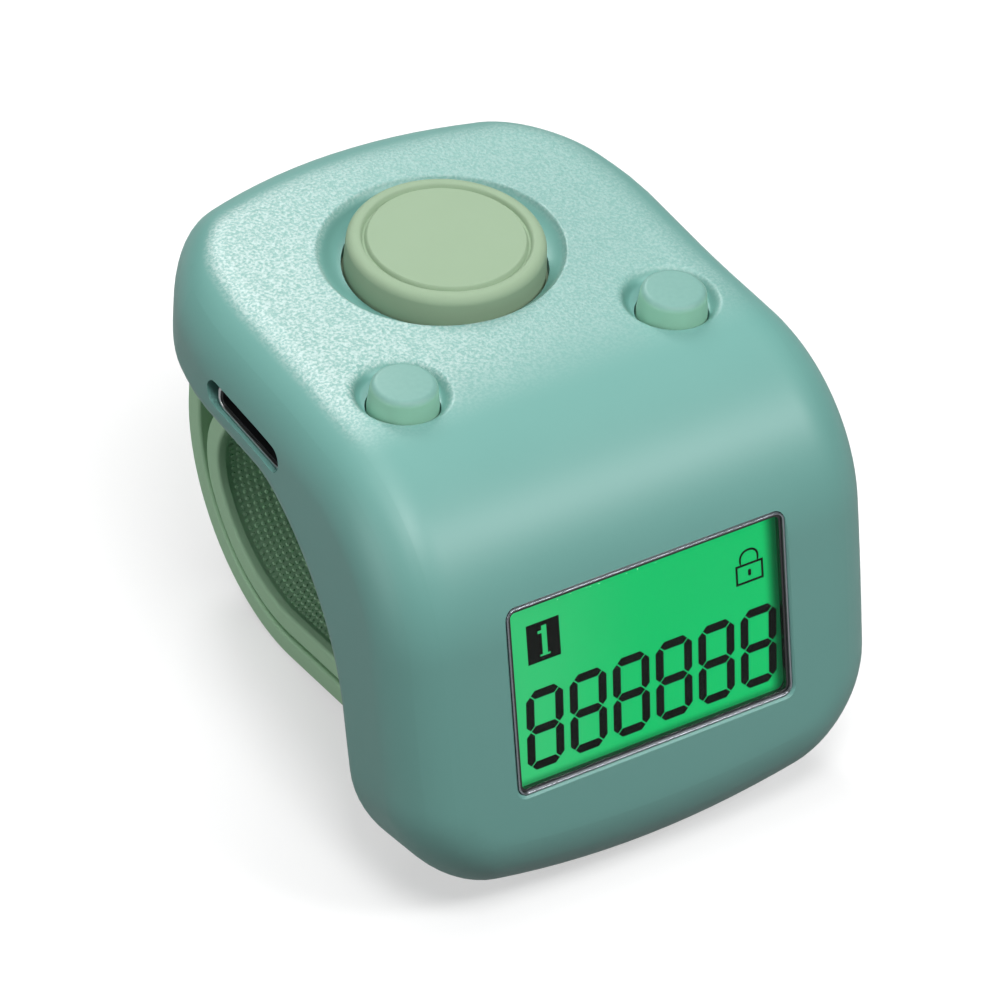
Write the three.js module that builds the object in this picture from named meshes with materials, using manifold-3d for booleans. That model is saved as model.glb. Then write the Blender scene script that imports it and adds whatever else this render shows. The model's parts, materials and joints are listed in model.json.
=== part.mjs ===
// Finger-ring digital tally counter.
//
// The case is one slab bent over the finger: a flat top with the buttons, a bend, and a leaning
// front with the display. A strap in two layers closes the ring under the finger.
// Millimetres, +Z up. X runs across the finger, -Y is the display side. The model is drawn about
// the point midway between the two small buttons, on the flat top, and is then moved so that its
// origin is the bottom centre of its bounding box.

import * as THREE from 'three';
import { mergeVertices } from 'three/addons/utils/BufferGeometryUtils.js';
import Module from 'manifold-3d';

const wasm = await Module();
wasm.setup();

// Driving dimensions: case outside
const caseWidth = 30;
const topReach = 20.53; // from the start of the bend back to the back corners
const frontReach = 14.09; // from the end of the bend down to the bottom corners
const bendRadius = 10.32;
const frontLean = 13.26; // degrees
const bendSetback = 1.65; // from the small buttons' line to the start of the bend
const cornerRadius = 5.36;
const sideDrawIn = 0.8; // each side, at drawInSpan from the widest line
const drawInSpan = 21.5;
const backBow = 3.32;
const frontBow = 2.26;
const edgeRadius = 3.62;
const rimRadius = 1.3;
const archRadius = 10.5;
const footTrim = 0.35; // cut off the lowest edge, so that the case stands on a flat

// Case walls and cover
const sideWall = 2;
const roof = 1.4;
const coverThickness = 1.1;
const coverGap = 0.3;
const bossRadius = 1.5;
const screwShankRadius = 0.6;
const screwHeadRadius = 1.05;
const screwHeadHeight = 0.6;
const screwLength = 3.6;
const fastenerGap = 0.12;

// Buttons
const countRadius = 5.51;
const countRise = 1.18;
const countSetback = 9.38; // behind the small buttons' line
const countDishRadius = 6.85;
const countDishDepth = 0.7;
const countFlangeRadius = 6.3;
const ringGrooveRadius = 4.69;
const ringGrooveWidth = 0.3;
const ringGrooveDepth = 0.14;
const smallRadius = 1.84;
const smallRise = 0.81;
const smallSpacing = 16.8;
const smallDishRadius = 2.5;
const smallDishDepth = 0.45;
const smallFlangeRadius = 2.45;
const buttonGap = 0.25; // round each button in its hole
const buttonEdge = 0.6;
const smallButtonEdge = 0.35;
const flangeThickness = 0.5;
const flangeGap = 0.1; // under the roof
const buttonTravel = 0.4;

// Switches and main board
const switchSize = 4.5;
const smallSwitchSize = 3;
const switchHeight = 0.7;
const switchPlungerRadius = 0.8;
const switchPlungerGap = 0.15;
const switchTopGap = 0.1; // left under a flange pressed right down
const boardThickness = 0.8;
const boardLength = 14.8;
const boardFrontReach = 2.4; // in front of the small buttons' line
const boardSideGap = 1.8;
const postRadius = 0.8;
const chipHeight = 0.8;
const chipGap = 0.5; // between the chips and the cover
const controllerSize = 5;
const controllerX = 2.5;
const controllerY = 5.5;
const chargeLength = 3;
const chargeWidth = 2;
const chargeX = -4;
const chargeY = 2.2;
const crystalLength = 4.5;
const crystalY = 10.2;

// Charging port on the left side
const portLength = 7.9;
const portHeight = 1.96;
const portSetback = 6.4; // behind the small buttons' line
const portRecess = 0.5;
const portShellLength = 6.9;
const portShellHeight = 1.66;
const portShellDepth = 5;
const portMetal = 0.2;
const portShellShift = -0.15; // the metal shell sits a little forward in its slot
const tongueThickness = 0.55;

// Display stack, from the window inwards
const windowWidth = 17.44;
const windowHeight = 11.06;
const windowCorner = 0.8;
const windowDrop = 3.53; // its centre below the end of the bend
const displayWall = 1.1; // the case wall left round the window
const lensSink = 0.3;
const lensThickness = 0.8;
const lensGap = 0.27;
const stackGap = 0.15;
const gasketThickness = 0.2;
const gasketLip = 0.35; // shown inside the window edge
const cellMargin = 0.6; // of the display cell round the window
const cellThickness = 1.1;
const backlightThickness = 0.6;
const ledWidth = 0.7;
const ledLength = 2.4;
const contactStripWidth = 0.8;
const displayBoardMargin = 0.3;
const displayBoardThickness = 0.6;
const batteryPadThickness = 0.2;
const batteryWidth = 16;
const batteryLength = 11.4;
const batteryThickness = 2;
const batteryGap = 0.225; // between the battery and the cover
const leadRadius = 0.35;
const ribbonWidth = 8;
const ribbonThickness = 0.15;

// Strap
const strapWidth = 17.6;
const strapThickness = 1.25;
const strapGap = 0.3;
const strapEdge = 0.4;
const strapOuterY = 20.9; // outer face of the outer layer, behind the small buttons' line
const strapRadius = 10.5; // of that face, round the finger
const strapRise = 8; // degrees that the layers climb towards the front
const strapTipReach = 2; // of the outer layer's tip, in front of the small buttons' line
const strapFoot = 0.06; // pressed flat where the ring stands
const tabWidth = 11.6;
const shoulder = 2.6; // from a pin to the full width
const eyeRadius = 1.25;
const pinRadius = 0.6;
const pinGap = 0.12;
const lugThickness = 1.3;
const lugRadius = 1.35;
const lugGap = 0.3;
const rearPinY = 17.2;
const rearPinDrop = 1.9; // below the underside of the top
const frontPinDrop = 7.12; // below the window's centre
const frontPinStand = 1.55; // off the back of the front
const studAngle = -6; // degrees, round the finger
const studRadius = 0.9;
const studBaseRadius = 1.5;
const studBaseThickness = 0.5;
const slotWidth = 2.4;
const slotLength = 4;
const slotStep = 26; // degrees
const slotCount = 3;
const innerTipRadius = 5;
const innerTipLength = 2;

const sliver = 0.004; // finer faces that a cut leaves are closed up

// Heights under the flat top, from the roof down
const roofUnder = -roof;
const flangeTop = roofUnder - flangeGap;
const flangeBottom = flangeTop - flangeThickness;
const switchTop = flangeBottom - buttonTravel - switchTopGap;
const boardTop = switchTop - switchHeight;
const boardBottom = boardTop - boardThickness;
const topDepth = -boardBottom + chipHeight + chipGap + coverThickness;

// Depths behind the window, from the case wall inwards
const gasketTop = -displayWall - stackGap / 2;
const cellTop = gasketTop - gasketThickness - stackGap;
const backlightTop = cellTop - cellThickness - stackGap;
const displayBoardTop = backlightTop - backlightThickness - stackGap;
const padTop = displayBoardTop - displayBoardThickness - stackGap;
const batteryTop = padTop - batteryPadThickness - stackGap;
const frontDepth = -batteryTop + batteryThickness + batteryGap + coverThickness;

// Worked out from the driving dimensions
const degree = Math.PI / 180;
const lean = frontLean * degree;
const turn = Math.PI / 2 - lean;
const bendLength = bendRadius * turn;
const bendY = -bendSetback;
const backS = -topReach;
const frontS = bendLength + frontReach;
const midS = (backS + frontS) / 2;
const frontIn = new THREE.Vector2(Math.cos(lean), -Math.sin(lean));
const frontDown = new THREE.Vector2(-Math.sin(lean), -Math.cos(lean));
const frontStart = new THREE.Vector2(
  bendY - bendRadius * Math.cos(lean),
  -bendRadius + bendRadius * Math.sin(lean),
);
const archZ = -topDepth - archRadius;
const archY = frontStart.x
  + (frontDepth + archRadius + (archZ - frontStart.y) * Math.sin(lean)) / Math.cos(lean);
const arch = new THREE.Vector2(archY, archZ);
const archStartS = bendY - archY;
const archEndS = bendLength + arch.clone().sub(frontStart).dot(frontDown);

// Solids
function closed(geometry) {
  const plain = geometry.index ? geometry.toNonIndexed() : geometry.clone();
  plain.deleteAttribute('normal');
  plain.deleteAttribute('uv');
  return mergeVertices(plain, 1e-5);
}

function solidOf(geometry) {
  const merged = closed(geometry);
  const mesh = new wasm.Mesh({
    numProp: 3,
    vertProperties: new Float32Array(merged.attributes.position.array),
    triVerts: new Uint32Array(merged.index.array),
  });
  return new wasm.Manifold(mesh);
}

function geometryOf(solid) {
  const mesh = solid.simplify(sliver).getMesh();
  const geometry = new THREE.BufferGeometry();
  geometry.setAttribute('position', new THREE.BufferAttribute(mesh.vertProperties, 3));
  geometry.setIndex(new THREE.BufferAttribute(mesh.triVerts, 1));
  geometry.computeVertexNormals();
  return geometry;
}

function cut(solid, ...tools) {
  return tools.reduce((left, tool) => left.subtract(tool), solid);
}

function join(...solids) {
  return solids.reduce((sum, solid) => sum.add(solid));
}

function box(sizeX, sizeY, sizeZ, x, y, z) {
  return new THREE.BoxGeometry(sizeX, sizeY, sizeZ).translate(x, y, z);
}

// A cylinder along Z between two heights
function rod(radius, low, high, x = 0, y = 0, sides = 16) {
  const geometry = new THREE.CylinderGeometry(radius, radius, high - low, sides);
  geometry.rotateX(Math.PI / 2);
  return geometry.translate(x, y, (low + high) / 2);
}

// A cylinder along X, centred on the part's middle plane
function crossRod(radius, length, y, z, sides = 16) {
  const geometry = new THREE.CylinderGeometry(radius, radius, length, sides);
  geometry.rotateZ(Math.PI / 2);
  return geometry.translate(0, y, z);
}

function roundedRectangle(width, height, radius, segments = 4) {
  const shape = new THREE.Shape();
  const x = width / 2 - radius;
  const y = height / 2 - radius;
  for (const [cx, cy, start] of [[x, y, 0], [-x, y, 90], [-x, -y, 180], [x, -y, 270]]) {
    for (let k = 0; k <= segments; k += 1) {
      const angle = (start + (90 * k) / segments) * degree;
      const px = cx + radius * Math.cos(angle);
      const py = cy + radius * Math.sin(angle);
      if (shape.curves.length === 0 && k === 0 && start === 0) shape.moveTo(px, py);
      else shape.lineTo(px, py);
    }
  }
  shape.closePath();
  return shape;
}

// A flat shape given thickness along Z
function slabOf(shape, low, high) {
  const geometry = new THREE.ExtrudeGeometry(shape, { depth: high - low, bevelEnabled: false });
  return geometry.translate(0, 0, low);
}

// A shape drawn in the Y-Z plane and carried along X, with an optional rounded edge
function alongX(shape, width, edge = 0, middle = 0) {
  const geometry = new THREE.ExtrudeGeometry(shape, {
    depth: width - 2 * edge,
    bevelEnabled: edge > 0,
    bevelThickness: edge,
    bevelSize: edge,
    bevelOffset: -edge,
    bevelSegments: 1,
  });
  const axes = new THREE.Matrix4().makeBasis(
    new THREE.Vector3(0, 1, 0),
    new THREE.Vector3(0, 0, 1),
    new THREE.Vector3(1, 0, 0),
  );
  geometry.translate(0, 0, -width / 2 + edge);
  geometry.applyMatrix4(axes);
  return geometry.translate(middle, 0, 0);
}

// The bent slab. A point on the outer surface is given by X and by s, the distance along the
// section: negative on the flat top, zero at the start of the bend.
function surfaceAt(s) {
  if (s <= 0) {
    return { point: new THREE.Vector2(bendY - s, 0), inward: new THREE.Vector2(0, -1) };
  }
  if (s >= bendLength) {
    const point = frontStart.clone().addScaledVector(frontDown, s - bendLength);
    return { point, inward: frontIn.clone() };
  }
  const angle = s / bendRadius;
  const inward = new THREE.Vector2(Math.sin(angle), -Math.cos(angle));
  const point = new THREE.Vector2(bendY, -bendRadius).addScaledVector(inward, -bendRadius);
  return { point, inward };
}

// The underside that faces the finger: flat, an arch, flat
function undersideAt(s) {
  if (s <= archStartS) {
    return { point: new THREE.Vector2(bendY - s, -topDepth), inward: new THREE.Vector2(0, 1) };
  }
  if (s >= archEndS) {
    const { point } = surfaceAt(s);
    return { point: point.addScaledVector(frontIn, frontDepth), inward: frontIn.clone().negate() };
  }
  const angle = (turn * (s - archStartS)) / (archEndS - archStartS);
  const inward = new THREE.Vector2(-Math.sin(angle), Math.cos(angle));
  return { point: arch.clone().addScaledVector(inward, archRadius), inward };
}

// The slab's outline as seen square to its surface, drawn in by an inset, right half first
function outline(inset) {
  const half = caseWidth / 2 - inset;
  const back = backS + inset;
  const front = frontS - inset;
  const radius = Math.max(cornerRadius - inset, 0.4);
  const points = [];
  const edgeSteps = 4;
  const cornerSteps = 5;
  const sideSteps = 26;
  for (let k = 0; k <= edgeSteps; k += 1) {
    points.push([((half - radius) * k) / edgeSteps, back]);
  }
  for (let k = 1; k <= cornerSteps; k += 1) {
    const angle = (k / cornerSteps) * (Math.PI / 2);
    points.push([half - radius + radius * Math.sin(angle), back + radius - radius * Math.cos(angle)]);
  }
  for (let k = 1; k < sideSteps; k += 1) {
    points.push([half, back + radius + ((front - back - 2 * radius) * k) / sideSteps]);
  }
  for (let k = 0; k <= cornerSteps; k += 1) {
    const angle = (k / cornerSteps) * (Math.PI / 2);
    points.push([half - radius + radius * Math.cos(angle), front - radius + radius * Math.sin(angle)]);
  }
  for (let k = edgeSteps - 1; k >= 0; k -= 1) {
    points.push([((half - radius) * k) / edgeSteps, front]);
  }
  const right = points.map(([x, s]) => bowed(x, s));
  const left = right.slice(1, -1).reverse().map(([x, s]) => [-x, s]);
  return [...right, ...left];
}

// The ends bow outwards in the middle, and the sides draw in away from the widest line
function bowed(x, s) {
  const middle = 1 - ((2 * x) / caseWidth) ** 2;
  const towardBack = Math.max((midS - s) / (midS - backS), 0) ** 2;
  const towardFront = Math.max((s - midS) / (frontS - midS), 0) ** 2;
  const moved = s - backBow * middle * towardBack + frontBow * middle * towardFront;
  return [x * narrowing(s), moved];
}

function narrowing(s) {
  return 1 - (sideDrawIn / (caseWidth / 2)) * ((s - bendLength) / drawInSpan) ** 2;
}

// One closed ring of points per level. A level gives each outline point its place in Y and Z.
function ring(inset, place) {
  return outline(inset).map(([x, s]) => {
    const point = place(s);
    return new THREE.Vector3(x, point.x, point.y);
  });
}

// Rings joined by bands, with the first and last closed by strips straight across
function loft(rings) {
  const count = rings[0].length;
  const positions = rings.flat().flatMap((point) => [point.x, point.y, point.z]);
  const index = [];
  for (let level = 0; level < rings.length - 1; level += 1) {
    for (let k = 0; k < count; k += 1) {
      const next = (k + 1) % count;
      const a = level * count + k;
      const b = level * count + next;
      const c = a + count;
      const d = b + count;
      index.push(a, b, c, b, d, c);
    }
  }
  const last = (rings.length - 1) * count;
  for (let k = 0; k < count / 2; k += 1) {
    const left = (count - k) % count;
    const leftNext = count - k - 1;
    if (left !== k) {
      index.push(k, left, k + 1);
      index.push(last + k, last + k + 1, last + left);
    }
    if (leftNext !== k + 1) {
      index.push(k + 1, left, leftNext);
      index.push(last + k + 1, last + leftNext, last + left);
    }
  }
  const geometry = new THREE.BufferGeometry();
  geometry.setAttribute('position', new THREE.Float32BufferAttribute(positions, 3));
  geometry.setIndex(index);
  return geometry;
}

function below(depth) {
  return (s) => {
    const { point, inward } = surfaceAt(s);
    return point.addScaledVector(inward, depth);
  };
}

function above(height) {
  return (s) => {
    const { point, inward } = undersideAt(s);
    return point.addScaledVector(inward, height);
  };
}

function slab() {
  const rings = [];
  const filletSteps = 4;
  for (let k = 0; k <= filletSteps; k += 1) {
    const angle = (k / filletSteps) * (Math.PI / 2);
    const depth = edgeRadius * (1 - Math.cos(angle));
    rings.push(ring(edgeRadius * (1 - Math.sin(angle)), below(depth)));
  }
  const rimSteps = 3;
  for (let k = 0; k <= rimSteps; k += 1) {
    const angle = (k / rimSteps) * (Math.PI / 2);
    const height = rimRadius * (1 - Math.sin(angle));
    rings.push(ring(rimRadius * (1 - Math.cos(angle)), above(height)));
  }
  return solidOf(loft(rings));
}

function cavity() {
  const inside = edgeRadius - roof;
  const rings = [
    ring(sideWall + inside * 0.6, below(roof)),
    ring(sideWall + inside * 0.2, below(roof + inside * 0.3)),
    ring(sideWall, below(roof + inside)),
    ring(sideWall, above(coverThickness)),
    ring(sideWall, above(-1)),
  ];
  return solidOf(loft(rings));
}

// A dished hollow round a button, with the button's hole below it
function dish(holeRadius, dishRadius, depth, x, y, sides) {
  const profile = [new THREE.Vector2(0, -roof - 1), new THREE.Vector2(holeRadius, -roof - 1)];
  const steps = 4;
  for (let k = 0; k <= steps; k += 1) {
    const angle = (k / steps) * (Math.PI / 2);
    const radius = holeRadius + (dishRadius - holeRadius) * (1 - Math.cos(angle));
    profile.push(new THREE.Vector2(radius, -depth + depth * (k / steps) * Math.sin(angle)));
  }
  profile.push(new THREE.Vector2(dishRadius, countRise));
  profile.push(new THREE.Vector2(0, countRise));
  return solidOf(lathe(profile, sides).translate(x, y, 0));
}

function lathe(profile, sides) {
  const geometry = new THREE.LatheGeometry(profile, sides);
  return geometry.rotateX(Math.PI / 2);
}

// The leaning front is its own frame: X across, Y up along the front, Z out of the window
const windowCentre = frontStart.clone().addScaledVector(frontDown, windowDrop);
const front = new THREE.Group();
front.position.set(0, windowCentre.x, windowCentre.y);
front.rotation.x = turn;
front.updateMatrix();

function onFront(geometry) {
  return solidOf(geometry.clone().applyMatrix4(front.matrix));
}

// Places that several pieces share
const coverInside = -topDepth + coverThickness;
const boardBack = boardLength - boardFrontReach;
const boardHalf = caseWidth / 2 - sideWall - boardSideGap;
const portZ = (boardTop + boardBottom) / 2;
const portSideX = -(caseWidth / 2) * narrowing(bendY - portSetback);
const portFaceX = portSideX + portRecess;
const portShellY = portSetback + portShellShift;
const smallX = smallSpacing / 2;
const buttonPlaces = [
  { name: 'count', x: 0, y: countSetback, size: switchSize },
  { name: 'reset', x: -smallX, y: 0, size: smallSwitchSize },
  { name: 'mode', x: smallX, y: 0, size: smallSwitchSize },
];
const cellWidth = windowWidth + 2 * cellMargin;
const cellHeight = windowHeight + 2 * cellMargin;
const displayBoardWidth = cellWidth + 2 * displayBoardMargin;
const displayBoardHeight = cellHeight + 2 * displayBoardMargin;
const batteryDrop = displayBoardHeight / 2 - batteryLength / 2 - stackGap;
const screwSeat = screwHeadHeight + fastenerGap;
const topHeadFace = -topDepth + fastenerGap / 2;
const frontHeadFace = -frontDepth + fastenerGap / 2;
const screwReach = screwHeadHeight + screwLength;
const pilotReach = screwReach + fastenerGap * 3;
const topScrewX = boardHalf - bossRadius;
const topScrewY = boardBack + coverGap + bossRadius;
const frontScrewX = tabWidth / 2 - bossRadius + lugGap;
const frontScrewDrop = displayBoardHeight / 2 + stackGap + bossRadius;
const postPlaces = [
  [boardHalf - 2, boardBack - 1],
  [-boardHalf + 2, boardBack - 1],
  [smallX - smallFlangeRadius - postRadius - lugGap, -boardFrontReach + postRadius],
  [-smallX + smallFlangeRadius + postRadius + lugGap, -boardFrontReach + postRadius],
];
const floorZ = lowestOfSlab() + footTrim;

function lowestOfSlab() {
  const heights = ring(rimRadius, above(0)).concat(ring(0, above(rimRadius))).map((p) => p.z);
  return Math.min(...heights);
}

// Case
function upperShell() {
  const holes = buttonPlaces.map(({ name, x, y }) => (name === 'count'
    ? dish(countRadius + buttonGap, countDishRadius, countDishDepth, x, y, 40)
    : dish(smallRadius + buttonGap, smallDishRadius, smallDishDepth, x, y, 24)));
  const windowShape = roundedRectangle(windowWidth, windowHeight, windowCorner);
  const window = onFront(slabOf(windowShape, -edgeRadius, 1));
  const pocketDepth = -displayBoardTop;
  const pocket = onFront(box(
    displayBoardWidth + 2 * stackGap,
    displayBoardHeight + 2 * stackGap,
    pocketDepth - displayWall,
    0,
    0,
    -(pocketDepth + displayWall) / 2,
  ));
  const slotShape = roundedRectangle(portLength, portHeight, portHeight / 2, 6);
  const slot = alongX(slotShape, sideWall * 3, 0, portSideX + sideWall / 2);
  const foot = box(caseWidth, caseWidth, 4, 0, frontStart.x, floorZ - 2);
  const hollow = cut(slab(), cavity(), pocket);
  const topBosses = [-topScrewX, topScrewX].map((x) => rod(bossRadius, coverInside, -roof / 2, x, topScrewY));
  const posts = postPlaces.map(([x, y]) => rod(postRadius, boardTop, -roof / 2, x, y, 12));
  const frontBossLow = -frontDepth + coverThickness + stackGap;
  const frontBosses = [-frontScrewX, frontScrewX].map((x) => onFront(
    rod(bossRadius, frontBossLow, -roof / 2, x, -frontScrewDrop),
  ));
  const bored = join(hollow, ...topBosses.map(solidOf), ...posts.map(solidOf), ...frontBosses);
  const topPilots = [-topScrewX, topScrewX].map((x) => solidOf(
    rod(screwShankRadius + fastenerGap, -topDepth, topHeadFace + pilotReach, x, topScrewY),
  ));
  const frontPilots = [-frontScrewX, frontScrewX].map((x) => onFront(
    rod(
      screwShankRadius + fastenerGap,
      -frontDepth,
      frontHeadFace + pilotReach,
      x,
      -frontScrewDrop,
    ),
  ));
  const portCut = solidOf(slot.translate(0, portSetback, portZ));
  return cut(bored, ...holes, window, portCut, solidOf(foot), ...topPilots, ...frontPilots);
}

function lugShape(y, z, towardY, towardZ) {
  const along = new THREE.Vector2(towardY - y, towardZ - z);
  const length = along.length();
  const angle = along.angle();
  const shape = new THREE.Shape();
  const steps = 8;
  for (let k = 0; k <= steps; k += 1) {
    const turned = angle + Math.PI / 2 + (Math.PI * k) / steps;
    const py = y + lugRadius * Math.cos(turned);
    const pz = z + lugRadius * Math.sin(turned);
    if (k === 0) shape.moveTo(py, pz);
    else shape.lineTo(py, pz);
  }
  for (const side of [-1, 1]) {
    const sideAngle = angle + (side * Math.PI) / 2;
    shape.lineTo(
      y + length * Math.cos(angle) + lugRadius * Math.cos(sideAngle),
      z + length * Math.sin(angle) + lugRadius * Math.sin(sideAngle),
    );
  }
  shape.closePath();
  return shape;
}

const rearPin = new THREE.Vector2(rearPinY, -topDepth - rearPinDrop);
const frontPin = windowCentre.clone()
  .addScaledVector(frontDown, frontPinDrop)
  .addScaledVector(frontIn, frontDepth + frontPinStand);
const lugX = tabWidth / 2 + lugGap + lugThickness / 2;

function lowerCover() {
  const plate = solidOf(loft([
    ring(sideWall + coverGap, above(coverThickness)),
    ring(sideWall + coverGap, above(0)),
  ]));
  const lugs = [-lugX, lugX].flatMap((x) => {
    const rear = lugShape(rearPin.x, rearPin.y, rearPin.x, -topDepth + coverThickness / 2);
    const root = frontPin.clone().addScaledVector(frontIn, -frontPinStand - coverThickness / 2);
    const fore = lugShape(frontPin.x, frontPin.y, root.x, root.y);
    return [rear, fore].map((shape) => solidOf(alongX(shape, lugThickness, 0, x)));
  });
  const props = postPlaces.slice(0, 2).map(([x, y]) => solidOf(
    rod(postRadius, -topDepth + coverThickness / 2, boardBottom, x, y, 12),
  ));
  const bores = [rearPin, frontPin].map((pin) => solidOf(
    crossRod(pinRadius + pinGap, caseWidth, pin.x, pin.y),
  ));
  const headBore = screwHeadRadius + fastenerGap;
  const shankBore = screwShankRadius + fastenerGap;
  const topHoles = [-topScrewX, topScrewX].flatMap((x) => [
    solidOf(rod(headBore, -topDepth - 1, -topDepth + screwSeat, x, topScrewY)),
    solidOf(rod(shankBore, -topDepth, -topDepth + 2 * coverThickness, x, topScrewY)),
  ]);
  const frontHoles = [-frontScrewX, frontScrewX].flatMap((x) => [
    onFront(rod(headBore, -frontDepth - 1, -frontDepth + screwSeat, x, -frontScrewDrop)),
    onFront(rod(shankBore, -frontDepth, -frontDepth + 2 * coverThickness, x, -frontScrewDrop)),
  ]);
  return cut(join(plate, ...lugs, ...props), ...bores, ...topHoles, ...frontHoles);
}

// A pan-head screw pointing up, with its head's outer face at zero and a straight slot in it
function screw() {
  const head = solidOf(rod(screwHeadRadius, 0, screwHeadHeight));
  const shank = solidOf(rod(screwShankRadius, screwHeadHeight / 2, screwReach));
  const slot = solidOf(box(screwHeadRadius * 1.4, 0.3, screwHeadHeight, 0, 0, 0));
  return cut(join(head, shank), slot);
}

// Buttons
function button(radius, rise, edge, flangeRadius, sides, groove) {
  const profile = [
    new THREE.Vector2(0, flangeBottom),
    new THREE.Vector2(flangeRadius, flangeBottom),
    new THREE.Vector2(flangeRadius, flangeTop),
    new THREE.Vector2(radius, flangeTop),
  ];
  const steps = 4;
  for (let k = 0; k <= steps; k += 1) {
    const angle = (k / steps) * (Math.PI / 2);
    const r = radius - edge * (1 - Math.cos(angle));
    profile.push(new THREE.Vector2(r, rise - edge * (1 - Math.sin(angle))));
  }
  if (groove) {
    profile.push(new THREE.Vector2(ringGrooveRadius + ringGrooveWidth / 2, rise));
    profile.push(new THREE.Vector2(ringGrooveRadius, rise - ringGrooveDepth));
    profile.push(new THREE.Vector2(ringGrooveRadius - ringGrooveWidth / 2, rise));
  }
  profile.push(new THREE.Vector2(0, rise));
  return lathe(profile, sides);
}

function switchBody(size, place) {
  const body = solidOf(box(size, size, switchHeight, place.x, place.y, boardTop + switchHeight / 2));
  const wellRadius = switchPlungerRadius + switchPlungerGap;
  const wellFloor = switchTop - switchHeight + switchTopGap / 2;
  return cut(body, solidOf(rod(wellRadius, wellFloor, switchTop + 1, place.x, place.y)));
}

function switchPlunger(place) {
  const low = wellBottomAtRest();
  return rod(switchPlungerRadius, low, flangeBottom, place.x, place.y);
}

function wellBottomAtRest() {
  return switchTop - switchHeight + switchTopGap + buttonTravel;
}

// Main board with the port let into its left edge
function mainBoard() {
  const board = solidOf(box(
    2 * boardHalf,
    boardLength,
    boardThickness,
    0,
    boardBack - boardLength / 2,
    (boardTop + boardBottom) / 2,
  ));
  const notchRight = portFaceX + portShellDepth + lugGap;
  const notch = box(
    notchRight + caseWidth / 2,
    portShellLength + 2 * fastenerGap,
    boardThickness + 1,
    (notchRight - caseWidth / 2) / 2,
    portShellY,
    (boardTop + boardBottom) / 2,
  );
  return cut(board, solidOf(notch));
}

function portShell() {
  const corner = portShellHeight * 0.35;
  const outer = alongX(roundedRectangle(portShellLength, portShellHeight, corner), portShellDepth);
  const innerShape = roundedRectangle(
    portShellLength - 2 * portMetal,
    portShellHeight - 2 * portMetal,
    corner - portMetal / 2,
  );
  const inner = alongX(innerShape, portShellDepth + 1);
  return cut(solidOf(outer), solidOf(inner));
}

function portTongue() {
  const plug = portShellDepth * 0.2;
  const backShape = roundedRectangle(
    portShellLength - 2 * portMetal - 2 * fastenerGap,
    portShellHeight - 2 * portMetal - 2 * fastenerGap,
    0.3,
  );
  const back = solidOf(alongX(backShape, plug, 0, (portShellDepth - plug) / 2));
  const blade = solidOf(box(
    portShellDepth * 0.75,
    portShellLength * 0.55,
    tongueThickness,
    portShellDepth * 0.05,
    0,
    portShellHeight * 0.1,
  ));
  return join(back, blade);
}

// Display stack, drawn in the front's own frame
function plate(width, height, top, thickness, y = 0, x = 0) {
  return box(width, height, thickness, x, y, top - thickness / 2);
}

function gasket() {
  const outer = roundedRectangle(windowWidth + cellMargin, windowHeight + cellMargin, windowCorner);
  const inner = roundedRectangle(
    windowWidth - 2 * gasketLip,
    windowHeight - 2 * gasketLip,
    windowCorner - gasketLip,
  );
  const low = gasketTop - gasketThickness;
  return cut(solidOf(slabOf(outer, low, gasketTop)), solidOf(slabOf(inner, low - 1, gasketTop + 1)));
}

// A round wire or a flat ribbon along a smooth line in a plane square to X
function wire(points, radius) {
  const curve = new THREE.CatmullRomCurve3(points);
  const section = new THREE.Shape();
  section.absarc(0, 0, radius, 0, Math.PI * 2);
  return new THREE.ExtrudeGeometry(section, {
    steps: 12,
    curveSegments: 4,
    bevelEnabled: false,
    extrudePath: curve,
  });
}

// The front's own Y and Z as a point of the whole part
function fromFront(x, y, z) {
  return new THREE.Vector3(x, y, z).applyMatrix4(front.matrix);
}

// Strap: a strip of even thickness whose middle line is drawn in the Y-Z plane
function stripShape(line, thickness) {
  const half = thickness / 2;
  const left = [];
  const right = [];
  const directions = line.map((point, k) => {
    const from = line[Math.max(k - 1, 0)];
    const to = line[Math.min(k + 1, line.length - 1)];
    return to.clone().sub(from).normalize();
  });
  line.forEach((point, k) => {
    const normal = new THREE.Vector2(-directions[k].y, directions[k].x);
    left.push(point.clone().addScaledVector(normal, half));
    right.push(point.clone().addScaledVector(normal, -half));
  });
  const roundEnd = (centre, direction) => {
    const points = [];
    const steps = 6;
    for (let k = 1; k < steps; k += 1) {
      const angle = direction.angle() + Math.PI / 2 - (Math.PI * k) / steps;
      points.push(centre.clone().add(new THREE.Vector2(Math.cos(angle), Math.sin(angle)).multiplyScalar(half)));
    }
    return points;
  };
  const end = roundEnd(line[line.length - 1], directions[line.length - 1]);
  const start = roundEnd(line[0], directions[0].clone().negate());
  return new THREE.Shape([...left, ...end, ...right.reverse(), ...start]);
}

function lineFrom(path, step) {
  return path.getSpacedPoints(Math.round(path.getLength() / step));
}

const strapCentre = new THREE.Vector2(strapOuterY - strapRadius, floorZ - strapFoot + strapRadius);
const outerLineRadius = strapRadius - strapThickness / 2;
const innerLineRadius = outerLineRadius - strapThickness - strapGap;
const climb = (90 + strapRise) * degree;
const climbDirection = new THREE.Vector2(-Math.cos(strapRise * degree), Math.sin(strapRise * degree));

function roundFinger(angle, radius) {
  return strapCentre.clone().add(new THREE.Vector2(Math.cos(angle), Math.sin(angle)).multiplyScalar(radius));
}

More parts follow.
